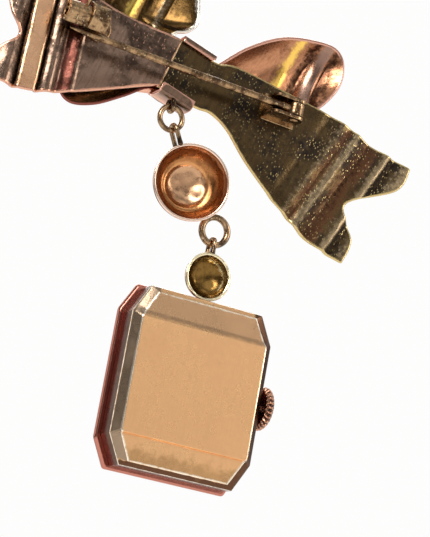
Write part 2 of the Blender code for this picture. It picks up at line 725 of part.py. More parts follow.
def build_winding(watch):
    ridges = gear(CROWN_RIDGES, CROWN_RADIUS - 0.12)
    half = CROWN_RADIUS - 0.35
    rings = [
        [(x * half / CROWN_RADIUS, CROWN_X[0], z * half / CROWN_RADIUS) for x, z in ridges],
        [(x, CROWN_X[0] + 0.3, z) for x, z in ridges],
        [(x, CROWN_X[1] - 0.2, z) for x, z in ridges],
        [(x * half / CROWN_RADIUS, CROWN_X[1], z * half / CROWN_RADIUS) for x, z in ridges],
    ]
    place(mesh_object("crown", loft(rings), along_x(0.0)), watch, (0, 0, 0), GOLD, 0.3)

    steps = 12
    stem = [(0.0, CROWN_X[1] + GAP), (STEM_RADIUS, CROWN_X[1] + GAP), (STEM_RADIUS, -6.6), (0.25, -6.6)]
    stem += [(0.25, -2.75), (0.16, -2.75), (0.16, -2.5), (0.0, -2.5)]
    obj = mesh_object("winding_stem", turned(stem, steps), along_x(0.0))
    place(obj, watch, (0, 0, 0), STEEL, 0.3)

    clutch = plate([gear(12, 0.72), circle(0.3, 12)], WINDING_PINION_X + 0.45, WINDING_PINION_X + 1.6)
    obj = mesh_object("clutch_wheel", clutch, along_x(0.0))
    place(obj, watch, (0, 0, 0), STEEL, 0.3)

    pinion = gear(14, WINDING_PINION_RADIUS, math.pi / 2)
    shape = plate([pinion, circle(0.3, 12)], WINDING_PINION_X - 0.4, WINDING_PINION_X + 0.4)
    place(mesh_object("winding_pinion", shape, along_x(0.0)), watch, (0, 0, 0), STEEL, 0.3)


def wheel(name, watch, at, outline, hole, depth, colour=BRASS, windows=0, roughness=0.3):
    """A flat toothed wheel on its own axis, with spoke windows if asked."""
    loops = [outline]
    if hole:
        loops.append(circle(hole, 12))
    if windows:
        rim = min(math.hypot(x, z) for x, z in outline) - 0.3
        share = 360 / windows
        for k in range(windows):
            first, last = share * k + 12, share * (k + 1) - 12
            loops.append(arc(rim, first, last, 5) + arc(rim * 0.42, last, first, 2))
    obj = mesh_object(name, plate(loops, *depth))
    return place(obj, watch, (at[0], 0, at[1]), colour, roughness)


def arbor(name, watch, at, leaves, stretch, ends):
    """A pinion cut on its own arbor: its leaves over one stretch, thin pivots at both ends."""
    radius = min([0.12] + [math.hypot(x, z) for x, z in leaves])
    thin = [tuple(Vector(point).normalized() * radius) for point in leaves]
    low, high = stretch
    rows = [(thin, ends[0]), (thin, low), (leaves, low)]
    rows += [(leaves, high), (thin, high), (thin, ends[1])]
    rings = [[(x, y, z) for x, z in points] for points, y in rows]
    obj = mesh_object(name, loft(rings))
    return place(obj, watch, (at[0], 0, at[1]), STEEL, 0.25)


def build_keyless(watch):
    """Crown wheel and ratchet wheel on the barrel bridge, with the click."""
    start = math.pi / CROWN_WHEEL_TEETH
    radius, ratchet_radius = pitch_radii(CROWN_WHEEL_AT, CROWN_WHEEL_TEETH, BARREL_AT, RATCHET_TEETH)
    ratchet_start = meshing_start(CROWN_WHEEL_AT, CROWN_WHEEL_TEETH, start, BARREL_AT, RATCHET_TEETH)
    depth = (-0.86, -0.62)
    teeth = gear(CROWN_WHEEL_TEETH, radius, start)
    wheel("crown_wheel", watch, CROWN_WHEEL_AT, teeth, 0.4, depth, STEEL)
    teeth = gear(RATCHET_TEETH, ratchet_radius, ratchet_start)
    wheel("ratchet_wheel", watch, BARREL_AT, teeth, 0.5, depth, STEEL)
    screw("crown_wheel_screw", watch, CROWN_WHEEL_AT, BRIDGE_Y[1] + GAP, -0.45, 0.66)
    click_at = (BARREL_AT[0] + 3.3, BARREL_AT[1] + 0.9)
    nose = Vector((BARREL_AT[0] + ratchet_radius + 0.24, BARREL_AT[1] + 0.25)) - Vector(click_at)
    shape = arc(0.42, 20, 200, 8) + [(nose.x - 0.1, nose.y), (nose.x + 0.25, nose.y - 0.05)]
    obj = mesh_object("click", plate([shape, circle(0.14, 10)], *depth))
    place(obj, watch, (click_at[0], 0, click_at[1]), STEEL, 0.25)


def screw(name, watch, at, low, high, radius):
    """A short screw with a slotted head."""
    head = high - 0.14
    profile = [(0.0, low), (radius * 0.5, low), (radius * 0.5, head)]
    profile += [(radius, head), (radius, high), (0.0, high)]
    obj = mesh_object(name, turned(profile, 14))
    slot = [(-0.06, 1.2 * radius), (-0.06, -1.2 * radius), (0.06, -1.2 * radius), (0.06, 1.2 * radius)]
    combine(obj, mesh_object(name + "_slot", plate([slot], high - 0.07, high + 0.2)), "DIFFERENCE")
    return place(obj, watch, (at[0], 0, at[1]), STEEL, 0.2)


# ---------------------------------------------------------------- plates and bridges


def build_plates(watch):
    outline = [(x, z) for x, _, z in octagon(PLATE, 0.0)]
    slot = [(-4.95, -1.45), (-2.65, -1.45), (-2.65, 1.45), (-4.95, 1.45)]
    holes = [slot, circle(0.2, 12)]
    bored = (THIRD_AT, FOURTH_AT, ESCAPE_AT, PALLET_AT, BALANCE_AT, MINUTE_AT)
    holes += [circle(0.16, 10, at) for at in bored]
    holes.append(circle(0.4, 12, BARREL_AT))
    place(mesh_object("mainplate", plate([outline] + holes, *PLATE_Y)), watch, (0, 0, 0), BRASS, 0.35)

    barrel_bridge = [(-5.4, 1.35), (-3.75, 1.2), (-3.6, -0.7), (-2.8, -1.0), (-0.6, -0.7), (0.3, -0.6)]
    barrel_bridge += [(0.65, 0.1), (3.2, 1.3), (5.4, 1.9), (5.6, 4.4), (4.5, 6.3), (-2.8, 6.3), (-5.2, 4.6)]
    holes = [circle(0.2, 12), circle(0.62, 14, BARREL_AT)]
    feet = [(4.9, 2.9), (-4.6, 4.3), (3.5, 5.7)]
    bridge("barrel_bridge", watch, barrel_bridge, holes, feet)

    train_bridge = [(1.9, -0.85), (2.9, -0.75), (4.8, -2.4), (5.2, -4.0), (4.0, -5.6), (2.6, -5.2)]
    train_bridge += [(0.9, -3.3), (-0.4, -3.8), (-0.95, -3.45), (-0.5, -2.95), (0.7, -2.2)]
    holes = [circle(0.16, 10, at) for at in (THIRD_AT, FOURTH_AT, ESCAPE_AT)]
    feet = [(4.6, -3.6), (3.5, -5.0)]
    bridge("train_bridge", watch, train_bridge, holes, feet)

    cock = [(-5.4, -5.7), (-3.1, -4.3), (-2.3, -4.3), (-2.0, -4.95), (-2.5, -5.5), (-4.1, -7.2)]
    cock.append((-5.2, -6.85))
    holes = [circle(0.14, 10, BALANCE_AT)]
    bridge("balance_cock", watch, cock, holes, [(-4.85, -6.3)], (-0.5, -0.3), 0.42)


def bridge(name, watch, outline, holes, feet, depth=BRIDGE_Y, foot_radius=0.45):
    """A bridge plate on round feet that stand on the mainplate."""
    obj = mesh_object(name, plate([outline] + holes, *depth))
    for k, foot in enumerate(feet):
        post = rod(foot_radius, PLATE_Y[1] + GAP, depth[0] + 0.1, 12)
        there = Matrix.Translation((foot[0], 0, foot[1]))
        combine(obj, mesh_object(f"{name}_foot_{k}", post, there), "UNION")
    return place(obj, watch, (0, 0, 0), NICKEL, 0.32)


# ---------------------------------------------------------------- going train


def build_train(watch):
    """Barrel to escape wheel, each gear turned so that its teeth mesh with the one before."""
    barrel, centre_pinion = pitch_radii(BARREL_AT, BARREL_TEETH, CENTRE_AT, CENTRE_PINION_TEETH)
    centre, third_pinion = pitch_radii(CENTRE_AT, CENTRE_TEETH, THIRD_AT, THIRD_PINION_TEETH)
    third, fourth_pinion = pitch_radii(THIRD_AT, THIRD_TEETH, FOURTH_AT, FOURTH_PINION_TEETH)
    fourth, escape_pinion = pitch_radii(FOURTH_AT, FOURTH_TEETH, ESCAPE_AT, ESCAPE_PINION_TEETH)
    build_barrel(watch, gear(BARREL_TEETH, barrel))
    start = meshing_start(BARREL_AT, BARREL_TEETH, 0.0, CENTRE_AT, CENTRE_PINION_TEETH)
    leaves = gear(CENTRE_PINION_TEETH, centre_pinion, start)
    arbor("centre_pinion", watch, CENTRE_AT, leaves, (-2.6, -2.2), (-4.2, -0.95))
    wheel("centre_wheel", watch, CENTRE_AT, gear(CENTRE_TEETH, centre), 0.16, (-1.65, -1.5), windows=4)

    start = meshing_start(CENTRE_AT, CENTRE_TEETH, 0.0, THIRD_AT, THIRD_PINION_TEETH)
    leaves = gear(THIRD_PINION_TEETH, third_pinion, start)
    arbor("third_pinion", watch, THIRD_AT, leaves, (-1.72, -1.45), TRAIN_PIVOTS_Y)
    wheel("third_wheel", watch, THIRD_AT, gear(THIRD_TEETH, third), 0.16, (-1.3, -1.2), windows=4)

    start = meshing_start(THIRD_AT, THIRD_TEETH, 0.0, FOURTH_AT, FOURTH_PINION_TEETH)
    leaves = gear(FOURTH_PINION_TEETH, fourth_pinion, start)
    arbor("fourth_pinion", watch, FOURTH_AT, leaves, (-1.35, -1.19), TRAIN_PIVOTS_Y)
    wheel("fourth_wheel", watch, FOURTH_AT, gear(FOURTH_TEETH, fourth), 0.16, (-2.2, -2.08), windows=4)

    start = meshing_start(FOURTH_AT, FOURTH_TEETH, 0.0, ESCAPE_AT, ESCAPE_PINION_TEETH)
    leaves = gear(ESCAPE_PINION_TEETH, escape_pinion, start)
    arbor("escape_pinion", watch, ESCAPE_AT, leaves, (-2.3, -2.0), TRAIN_PIVOTS_Y)
    wheel("escape_wheel", watch, ESCAPE_AT, escape_outline(), 0.16, (-1.7, -1.6), STEEL)


def build_barrel(watch, drum):
    """The toothed drum, open at the back, with the mainspring and its arbor inside."""
    obj = mesh_object("barrel_drum", plate([drum, circle(0.42, 12)], -2.62, -2.42))
    wall = turned([(0.42, -2.5), (2.5, -2.5), (2.5, -1.72), (2.3, -1.72), (2.3, -2.36), (0.42, -2.36)], 28)
    combine(obj, mesh_object("barrel_wall_helper", wall), "UNION")
    place(obj, watch, (BARREL_AT[0], 0, BARREL_AT[1]), BRASS, 0.3)
    profile = [(0.0, -2.9), (0.3, -2.9), (0.3, -2.3), (0.62, -2.3), (0.62, -1.75)]
    profile += [(0.4, -1.7), (0.4, -0.65), (0.0, -0.65)]
    obj = mesh_object("barrel_arbor", turned(profile, 14))
    place(obj, watch, (BARREL_AT[0], 0, BARREL_AT[1]), STEEL, 0.25)
    coil("mainspring", watch, BARREL_AT, (0.72, 2.2), 4.5, 0.06, (-2.28, -1.78), STEEL)


def coil(name, watch, at, radii, turns, thickness, depth, colour):
    """A flat strip wound as a spiral: its outline runs out along one side and back along the other."""
    steps = int(turns * 16)
    sides = []
    for shift in (thickness / 2, -thickness / 2):
        side = []
        for k in range(steps + 1):
            angle = math.tau * turns * k / steps
            r = radii[0] + (radii[1] - radii[0]) * k / steps + shift
            side.append((r * math.cos(angle), r * math.sin(angle)))
        sides.append(side)
    obj = mesh_object(name, plate([sides[0] + sides[1][::-1]], *depth))
    return place(obj, watch, (at[0], 0, at[1]), colour, 0.2)


def escape_outline():
    """Fifteen leaning club teeth."""
    points = []
    pitch = math.tau / ESCAPE_TEETH
    for tooth in range(ESCAPE_TEETH):
        for share, r in ((0.0, 0.62), (0.3, ESCAPE_RADIUS), (0.45, ESCAPE_RADIUS - 0.03), (0.4, 0.62)):
            angle = (tooth + share) * pitch
            points.append((r * math.cos(angle), r * math.sin(angle)))
    return points


def build_escapement(watch):
    """Pallet fork, balance with its staff and hairspring."""
    to_escape = Vector(ESCAPE_AT) - Vector(PALLET_AT)
    to_balance = Vector(BALANCE_AT) - Vector(PALLET_AT)
    lean = math.atan2(to_balance.y, to_balance.x)
    reach = to_balance.length - 0.42
    spread = to_escape.length - ESCAPE_RADIUS
    half = 0.07
    shape = [(reach, half), (reach + 0.22, half + 0.12), (reach + 0.22, half + 0.02), (reach + 0.08, 0.0)]
    shape += [(reach + 0.22, -half - 0.02), (reach + 0.22, -half - 0.12), (reach, -half), (0.16, -half)]
    shape += [(0.0, -0.2), (-spread + 0.12, -0.62), (-spread + 0.02, -0.55), (-0.16, -half)]
    shape += [(-0.16, half), (-spread + 0.02, 0.55), (-spread + 0.12, 0.62), (0.0, 0.2), (0.16, half)]
    obj = mesh_object("pallet_fork", plate([shape], -1.7, -1.6), Matrix.Rotation(-lean, 4, "Y"))
    combine(obj, mesh_object("pallet_arbor_helper", rod(0.1, -2.95, -1.45, 10)), "UNION")
    place(obj, watch, (PALLET_AT[0], 0, PALLET_AT[1]), STEEL, 0.2)
    wheel_loops = [circle(BALANCE_RADIUS, 32), arc(1.7, 8, 172, 12) + arc(0.45, 165, 15, 4)]
    wheel_loops.append(arc(1.7, 188, 352, 12) + arc(0.45, 345, 195, 4))
    wheel_loops.append(circle(0.16, 10))
    obj = mesh_object("balance_wheel", plate(wheel_loops, -1.3, -1.08))
    place(obj, watch, (BALANCE_AT[0], 0, BALANCE_AT[1]), GOLD, 0.25)
    profile = [(0.0, -2.95), (0.08, -2.95), (0.08, -2.4), (0.14, -2.4), (0.14, -1.75), (0.3, -1.75)]
    profile += [(0.3, -1.62), (0.14, -1.62), (0.14, -0.75), (0.08, -0.6), (0.08, -0.35), (0.0, -0.35)]
    obj = mesh_object("balance_staff", turned(profile, 10))
    place(obj, watch, (BALANCE_AT[0], 0, BALANCE_AT[1]), STEEL, 0.2)
    coil("hairspring", watch, BALANCE_AT, (0.25, 1.1), 5.0, 0.03, (-0.95, -0.85), STEEL)


# ---------------------------------------------------------------- motion work


def build_motion_work(watch):
    """Cannon pinion, minute wheel with its pinion, and hour wheel with its pipe."""
    cannon, minute = pitch_radii(CENTRE_AT, CANNON_TEETH, MINUTE_AT, MINUTE_TEETH)
    minute_pinion, hour_radius = pitch_radii(MINUTE_AT, MINUTE_PINION_TEETH, CENTRE_AT, HOUR_TEETH)
    outline = gear(CANNON_TEETH, cannon)
    pipe = circle(0.27, len(outline))
    bore = circle(0.16, len(outline))
    rows = [(bore, -3.05), (outline, -3.05), (outline, -3.28), (pipe, -3.28), (pipe, -4.3), (bore, -4.3)]
    rings = [[(x, y, z) for x, z in points] for points, y in rows]
    place(mesh_object("cannon_pinion", loft(rings, closed=True)), watch, (0, 0, 0), STEEL, 0.25)

    start = meshing_start(CENTRE_AT, CANNON_TEETH, 0.0, MINUTE_AT, MINUTE_TEETH)
    teeth = gear(MINUTE_TEETH, minute, start)
    wheel("minute_wheel", watch, MINUTE_AT, teeth, 0.2, (-3.25, -3.1))
    outline = gear(MINUTE_PINION_TEETH, minute_pinion, start)
    thin = circle(0.15, len(outline), start=start)
    rows = [(thin, -2.95), (thin, -3.28), (outline, -3.28), (outline, -3.5)]
    rings = [[(x, y, z) for x, z in points] for points, y in rows]
    obj = mesh_object("minute_pinion", loft(rings))
    place(obj, watch, (MINUTE_AT[0], 0, MINUTE_AT[1]), STEEL, 0.25)

    start = meshing_start(MINUTE_AT, MINUTE_PINION_TEETH, start, CENTRE_AT, HOUR_TEETH)
    teeth = gear(HOUR_TEETH, hour_radius, start)
    hour = mesh_object("hour_wheel", plate([teeth, circle(0.33, 16)], -3.48, -3.33))
    pipe = turned([(0.33, -4.05), (0.46, -4.05), (0.46, -3.4), (0.33, -3.4)], 16)
    combine(hour, mesh_object("pipe_helper", pipe), "UNION")
    place(hour, watch, (0, 0, 0), BRASS, 0.3)


def build_watch(watch_pivot):
    watch = empty("watch_frame", Vector(WATCH_AT) - Vector(LINK_AT), watch_pivot, WATCH_LEAN)
    build_small_dome(watch_pivot, watch)
    build_case(watch)
    build_dial(watch)
    build_winding(watch)
    build_plates(watch)
    build_train(watch)
    build_escapement(watch)
    build_keyless(watch)
    build_motion_work(watch)


def main():
    clear_scene()
    build_bow()
    build_pin()
    build_watch(build_chain())


main()
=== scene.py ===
"""The looks of a fob watch that hangs from a bow brooch.

The fixed frame gives the joints and the plain solids. This script lays finished surfaces over them: rippled
ribbon tails, dished and fluted loops, a pin and catch, domes on rings, and a satin watch case with its crown,
crystal, dial and hands. The movement inside keeps its solids and gets its finishes.

Each sub-assembly is a class that holds its sizes in millimetres. A shape is worked out as a grid of points,
and a Skin gathers grids into one closed mesh. Every point carries marks for its finish: `rim`, the distance to
the nearest edge in millimetres; `back`, 1 on the side towards the wearer and 0 on the front; and four more,
from 0 to 1, which say how much of a finish's other colours shows there. Three of these paint light: one a
highlight, one shade (with dark tarnish where it lies in hollows), and one a reflected colour. The fourth,
`patina`, darkens solder and the rings' joints, and greys the case back's bevel on one side.
"""

import json
import logging
import math
from collections.abc import Callable, Sequence
from dataclasses import dataclass, field
from enum import Enum

import bmesh
import bpy
import numpy as np
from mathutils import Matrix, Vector


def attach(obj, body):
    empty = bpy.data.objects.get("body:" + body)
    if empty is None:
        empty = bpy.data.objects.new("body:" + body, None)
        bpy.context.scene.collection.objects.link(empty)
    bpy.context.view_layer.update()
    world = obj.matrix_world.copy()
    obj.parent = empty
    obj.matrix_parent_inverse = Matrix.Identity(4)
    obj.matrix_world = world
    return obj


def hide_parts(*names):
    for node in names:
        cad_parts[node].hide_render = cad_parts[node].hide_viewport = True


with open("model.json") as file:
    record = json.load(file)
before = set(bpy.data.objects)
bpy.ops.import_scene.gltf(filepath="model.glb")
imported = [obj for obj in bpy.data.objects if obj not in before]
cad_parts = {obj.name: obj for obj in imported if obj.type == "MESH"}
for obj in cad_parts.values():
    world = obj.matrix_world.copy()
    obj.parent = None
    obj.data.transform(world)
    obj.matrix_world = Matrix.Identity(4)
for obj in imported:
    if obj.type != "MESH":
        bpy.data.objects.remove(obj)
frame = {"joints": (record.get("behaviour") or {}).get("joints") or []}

LOG = logging.getLogger("fob_watch")
MM = 0.001
CORNER = (1.6, 3.0)
# The usual value of each mark. The highlight, shade and reflection marks place painted light and shade, 0 where there
# is none.
MARKS = {"rim": 9.0, "back": 1.0, "crest": 0.0, "trough": 0.0, "blush": 0.0, "patina": 0.0}

Grid = np.ndarray
Colour = tuple[float, float, float]
Point = tuple[float, float, float]
Pair = tuple[float, float]


# ---------------------------------------------------------------- curves and places


@dataclass(frozen=True)
class Place:
    """A frame of its own for a sub-assembly: an origin in millimetres and a lean about Y in degrees."""

    origin: Point
    lean: float = 0.0

    @classmethod
    def from_joints(cls, centre: str, sideways: str) -> "Place":
        """Reads a place from two joints.

        Args:
            centre: The joint whose line along Y passes through the origin.
            sideways: The joint whose axis is the place's own X.

        Returns:
            The place, with its origin at Y 0.
        """
        joints = {joint["name"]: joint for joint in frame["joints"]}
        x, _, z = (value / MM for value in joints[centre]["pos_m"])
        axis = np.array(joints[sideways]["axis"])
        axis = axis if axis[0] > 0 else -axis
        return cls((x, 0.0, z), math.degrees(math.atan2(-axis[2], axis[0])))

    def out(self, points: Grid) -> Grid:
        """Carries points from this place to the row's frame: turned by the lean about Y, then moved."""
        lean = math.radians(self.lean)
        x, y, z = np.moveaxis(np.asarray(points, float), -1, 0)
        turned = [x * math.cos(lean) + z * math.sin(lean), y, z * math.cos(lean) - x * math.sin(lean)]
        return np.stack(turned, axis=-1) + np.array(self.origin)


def unit(vectors: Grid) -> Grid:
    """Each vector divided by its length."""
    return vectors / np.maximum(np.linalg.norm(vectors, axis=-1, keepdims=True), 1e-9)


def smoothstep(low: float, high: float, values: Grid) -> Grid:
    """0 below low, 1 above high, and 3t^2 - 2t^3 between them."""
    t = np.clip((values - low) / (high - low), 0.0, 1.0)
    return t * t * (3.0 - 2.0 * t)


def smooth_curve(guides: Sequence[Sequence[float]], steps: int, closed: bool = False) -> Grid:
    """Points on a Catmull-Rom curve through guide points.

    On the span from b to c, with neighbours a and d, a point is half of
    2b + (c - a)t + (2a - 5b + 4c - d)t^2 + (3b - a - 3c + d)t^3.

    Args:
        guides: The guide points.
        steps: How many points each span gives.
        closed: Whether the last guide joins the first.

    Returns:
        The points, one row each.
    """
    b = np.asarray(guides, float)
    a, c, d = np.roll(b, 1, 0), np.roll(b, -1, 0), np.roll(b, -2, 0)
    if not closed:
        a[0], c[-1], d[-1], d[-2] = b[0], b[-1], b[-1], b[-1]
        a, b, c, d, last = a[:-1], b[:-1], c[:-1], d[:-1], b[-1:]
    t = (np.arange(steps) / steps)[None, :, None]
    a, b, c, d = (guide[:, None, :] for guide in (a, b, c, d))
    curve = 2 * b + (c - a) * t + (2 * a - 5 * b + 4 * c - d) * t**2 + (3 * b - a - 3 * c + d) * t**3
    points = (curve / 2).reshape(-1, b.shape[-1])
    return points if closed else np.concatenate([points, last])


def along(path: Grid, shares: Grid) -> Grid:
    """Walks a path.

    Args:
        path: The path's points, one a row.
        shares: Shares of its length, each 0 to 1.

    Returns:
        The point at each share.
    """
    lengths = np.concatenate([[0.0], np.cumsum(np.linalg.norm(np.diff(path, axis=0), axis=1))])
    return np.stack([np.interp(shares * lengths[-1], lengths, column) for column in path.T], axis=-1)


def filleted(profile: Sequence[Sequence[float]], radius: float, steps: int = 3, closed: bool = False) -> Grid:
    """A line through corner points with each corner rounded.

    Each corner b becomes a quadratic curve from r before it to r past it, a(1-t)^2 + 2bt(1-t) + ct^2, with one
    more point just outside each end, so that the flats beside it stay flat when shaded.

    Args:
        profile: The corner points.
        radius: How far from a corner its rounding starts, at most two fifths of each side.
        steps: The spans in each rounding.
        closed: Whether the last point joins the first.

    Returns:
        The rounded line's points.
    """
    corners = np.asarray(profile, float)
    before, after = np.roll(corners, 1, 0), np.roll(corners, -1, 0)
    into, out = before - corners, after - corners
    reach = np.minimum(np.linalg.norm(into, axis=1), np.linalg.norm(out, axis=1))[:, None] * 0.4
    reach = np.minimum(reach, radius)
    start, end = corners + unit(into) * reach, corners + unit(out) * reach
    t = (np.arange(steps + 1) / steps)[None, :, None]
    a, b, c = start[:, None], corners[:, None], end[:, None]
    rounded = a * (1 - t) ** 2 + 2 * b * t * (1 - t) + c * t**2
    support = [(corners + unit(side) * reach * 1.15)[:, None] for side in (into, out)]
    points = np.concatenate([support[0], rounded, support[1]], axis=1)
    if closed:
        return points.reshape(-1, corners.shape[1])
    return np.concatenate([corners[:1], points[1:-1].reshape(-1, corners.shape[1]), corners[-1:]])


def normals_of(grid: Grid, closed_columns: bool = False) -> Grid:
    """The unit normals of a surface: the cross product of its two gradients, turned to face the back (+Y).

    Args:
        grid: The surface's points, rows by columns by 3.
        closed_columns: Whether the last column joins the first.

    Returns:
        A unit vector for each point.
    """
    down = np.gradient(grid, axis=0)
    if closed_columns:
        right = np.roll(grid, -1, axis=1) - np.roll(grid, 1, axis=1)
    else:
        right = np.gradient(grid, axis=1)
    found = unit(np.cross(down, right))
    return found if found[..., 1].mean() > 0 else -found


def border(grid: Grid) -> Grid:
    """A grid's border points, in order round it."""
    return np.concatenate([grid[0, :-1], grid[:-1, -1], grid[-1, :0:-1], grid[:0:-1, 0]])


def nearest(points: Grid, edge: Grid) -> Grid:
    """Each point's distance to the nearest of the edge points.

    Args:
        points: The points, in any arrangement.
        edge: The edge points, one a row.

    Returns:
        The distances, arranged as the points are.
    """
    flat = points.reshape(-1, points.shape[-1])
    square = (flat**2).sum(1)[:, None] + (edge**2).sum(1)[None] - 2 * flat @ edge.T
    return np.sqrt(np.maximum(square.min(axis=1), 0.0)).reshape(points.shape[:-1])


def arc(radius: float, first: float, last: float, steps: int) -> Grid:
    """Points (r cos a, r sin a) along part of a circle.

    Args:
        radius: The circle's radius, r.
        first: The angle of the first point, in degrees.
        last: The angle of the last point, in degrees.
        steps: How many points.

    Returns:
        The points, one a row.
    """
    angles = np.radians(np.linspace(first, last, steps))
    return radius * np.stack([np.cos(angles), np.sin(angles)], axis=-1)


def clipped(half_width: float, half_height: float, corner: Pair) -> Grid:
    """A rectangle with clipped corners.

    Args:
        half_width: Half its width.
        half_height: Half its height.
        corner: How far each clip runs along x and along z.

    Returns:
        Its eight (x, z) points in order.
    """
    quarter = [(half_width, half_height - corner[1]), (half_width - corner[0], half_height)]
    half = quarter + [(-x, z) for x, z in quarter[::-1]]
    return np.array(half + [(-x, -z) for x, z in half])


def slab(half_a: float, half_b: float, radius: float) -> Grid:
    """A rectangle's section with rounded corners.

    Args:
        half_a: Half its first side.
        half_b: Half its second side.
        radius: The corners' radius.

    Returns:
        The section's points in order.
    """
    corners = [(-half_a, -half_b), (half_a, -half_b), (half_a, half_b), (-half_a, half_b)]
    return filleted(corners, radius, 4, closed=True)


# ---------------------------------------------------------------- meshes


class Skin:
    """One mesh, gathered from grids of points in millimetres."""

    def __init__(self) -> None:
        """Starts with no points."""
        self.points: list[Grid] = []
        self.faces: list[Grid] = []
        self.marks: dict[str, list[Grid]] = {name: [] for name in MARKS}
        self.count = 0

    def add(self, grid: Grid, close_rows: bool = False, close_columns: bool = False, **marks: object) -> "Skin":
        """Adds a grid as quads.

        Args:
            grid: The points, rows by columns by 3.
            close_rows: Whether the last row joins the first.
            close_columns: Whether the last column joins the first.
            marks: The values of the marks that differ from the usual, as one number, a row or a whole grid.

        Returns:
            This skin, for the next grid.
        """
        rows, columns = grid.shape[:2]
        index = np.arange(rows * columns).reshape(rows, columns) + self.count
        index = np.concatenate([index, index[:1]]) if close_rows else index
        index = np.concatenate([index, index[:, :1]], axis=1) if close_columns else index
        quads = np.stack([index[:-1, :-1], index[:-1, 1:], index[1:, 1:], index[1:, :-1]], axis=-1)
        self.faces.append(quads.reshape(-1, 4))
        self.points.append(np.asarray(grid, float).reshape(-1, 3))
        for name, usual in MARKS.items():
            self.marks[name].append(np.broadcast_to(marks.get(name, usual), (rows, columns)).reshape(-1))
        self.count += rows * columns
        return self

    def add_quads(self, corners: Grid) -> "Skin":
        """Adds loose four-cornered faces, one for each row of four points."""
        count = len(corners)
        self.faces.append(np.arange(count * 4).reshape(count, 4) + self.count)
        self.points.append(np.asarray(corners, float).reshape(-1, 3))
        for name, usual in MARKS.items():
            self.marks[name].append(np.full(count * 4, usual))
        self.count += count * 4
        return self

    def shell(self, outer: Grid, inner: Grid, loops: Sequence[Grid], rim: Grid | float) -> "Skin":
        """Adds a closed body: two grids of one shape, and the loops that join their borders.

        Args:
            outer: The grid on the back.
            inner: The grid on the front.
            loops: The loops between the two borders, from outer to inner.
            rim: The outer grid's distances to its edge.

        Returns:
            This skin.
        """
        self.add(outer, rim=rim).add(inner, rim=rim, back=0.0)
        side = np.stack([border(outer), *loops, border(inner)])
        fade = np.linspace(1.0, 0.0, len(side))[:, None]
        return self.add(side, close_columns=True, rim=0.0, back=fade)

    def sheet(self, middle: Grid, thickness: float, rim_steps: int = 6) -> "Skin":
        """Adds a sheet of metal with a half-round edge.

        A point on either face is the middle surface plus or minus half the thickness along its normal n. The
        edge is a half circle, p + h(n cos a + t sin a), with t pointing out of the sheet and a from 0 to 180
        degrees.

        Args:
            middle: The grid of points half way through the sheet.
            thickness: The sheet's thickness.
            rim_steps: The spans round the edge.

        Returns:
            This skin.
        """
        half = thickness / 2
        normals = normals_of(middle)
        edge, edge_normals = border(middle), border(normals)
        run = np.roll(edge, -1, axis=0) - np.roll(edge, 1, axis=0)
        outward = unit(np.cross(run, edge_normals))
        if (outward * (edge - edge.mean(axis=0))).sum() < 0:
            outward = -outward
        angles = np.linspace(0.0, math.pi, rim_steps + 1)[1:-1]
        loops = [edge + half * (edge_normals * math.cos(a) + outward * math.sin(a)) for a in angles]
        return self.shell(middle + half * normals, middle - half * normals, loops, nearest(middle, edge))

    def dish(self, rings: Grid, thickness: float, rim_steps: int = 6) -> "Skin":
        """Adds a sheet made of rings round a middle, with a half-round edge as on `sheet`.

        Args:
            rings: The middle surface, from its central point (row 0) to its edge (last row).
            thickness: The sheet's thickness.
            rim_steps: The spans round the edge.

        Returns:
            This skin.
        """
        half = thickness / 2
        normals = normals_of(rings, closed_columns=True)
        normals[0] = unit(normals[1].mean(axis=0))
        outward = unit(rings[-1] - rings[-2])
        angles = np.linspace(0.0, math.pi, rim_steps + 1)
        bows = [normals[-1] * math.cos(angle) + outward * math.sin(angle) for angle in angles]
        edge = np.stack([rings[-1] + half * bow for bow in bows])
        distance = nearest(rings, rings[-1])
        self.add(rings + half * normals, close_columns=True, rim=distance)
        self.add(rings - half * normals, close_columns=True, rim=distance, back=0.0)
        return self.add(edge, close_columns=True, rim=0.0, back=(1 + np.cos(angles))[:, None] / 2)

    def lathe(
        self, profile: Grid, axis: Point, across: Point, at: Point = (0, 0, 0), steps: int = 48, **marks: object
    ) -> "Skin":
        """Adds a turned shape: each profile point (r, h) goes round the axis at radius r and height h.

        Args:
            profile: The points (r, h), from pole to pole or closed on itself, or one such row for each step.
            axis: The unit vector that heights run along.
            across: A unit vector square to the axis, where the turn starts.
            at: The point where the height is 0.
            steps: The steps round.
            marks: The skin's marks.

        Returns:
            This skin.
        """
        angles = np.linspace(0.0, math.tau, steps, endpoint=False)
        axis, across = np.asarray(axis, float), np.asarray(across, float)
        round_it = np.outer(np.cos(angles), across) + np.outer(np.sin(angles), np.cross(axis, across))
        profile = profile[:, None] if profile.ndim == 2 else profile
        grid = profile[..., 0, None] * round_it[None] + profile[..., 1, None] * axis + np.asarray(at)
        poled = abs(profile[0, 0, 0]) < 1e-6 and abs(profile[-1, 0, 0]) < 1e-6
        return self.add(grid, close_rows=not poled, close_columns=True, **marks)

    def sweep(self, path: Grid, side: Point, section: Grid, closed: bool = False, **marks: object) -> "Skin":
        """Adds a section carried along a flat curve.

        A section point (a, b) at the point p lands at p + a s + b u, where s is the fixed side vector and u is
        the curve's direction crossed with it. An open sweep closes in a point at each end.

        Args:
            path: The points of the curve.
            side: The unit normal of the plane that the curve lies in.
            section: The section's points, one loop for all or one loop for each point of the curve.
            closed: Whether the curve closes on itself.
            marks: The skin's marks.

        Returns:
            This skin.
        """
        run = np.roll(path, -1, 0) - np.roll(path, 1, 0) if closed else np.gradient(path, axis=0)
        side = np.asarray(side, float)
        up = np.cross(unit(run), side)
        section = np.broadcast_to(section, (len(path), *section.shape[-2:]))
        grid = path[:, None] + section[..., 0, None] * side + section[..., 1, None] * up[:, None]
        if not closed:
            ends = [np.broadcast_to(path[k], (1, *grid.shape[1:])) for k in (0, -1)]
            grid = np.concatenate([ends[0], grid, ends[1]])
        return self.add(grid, close_rows=closed, close_columns=True, **marks)

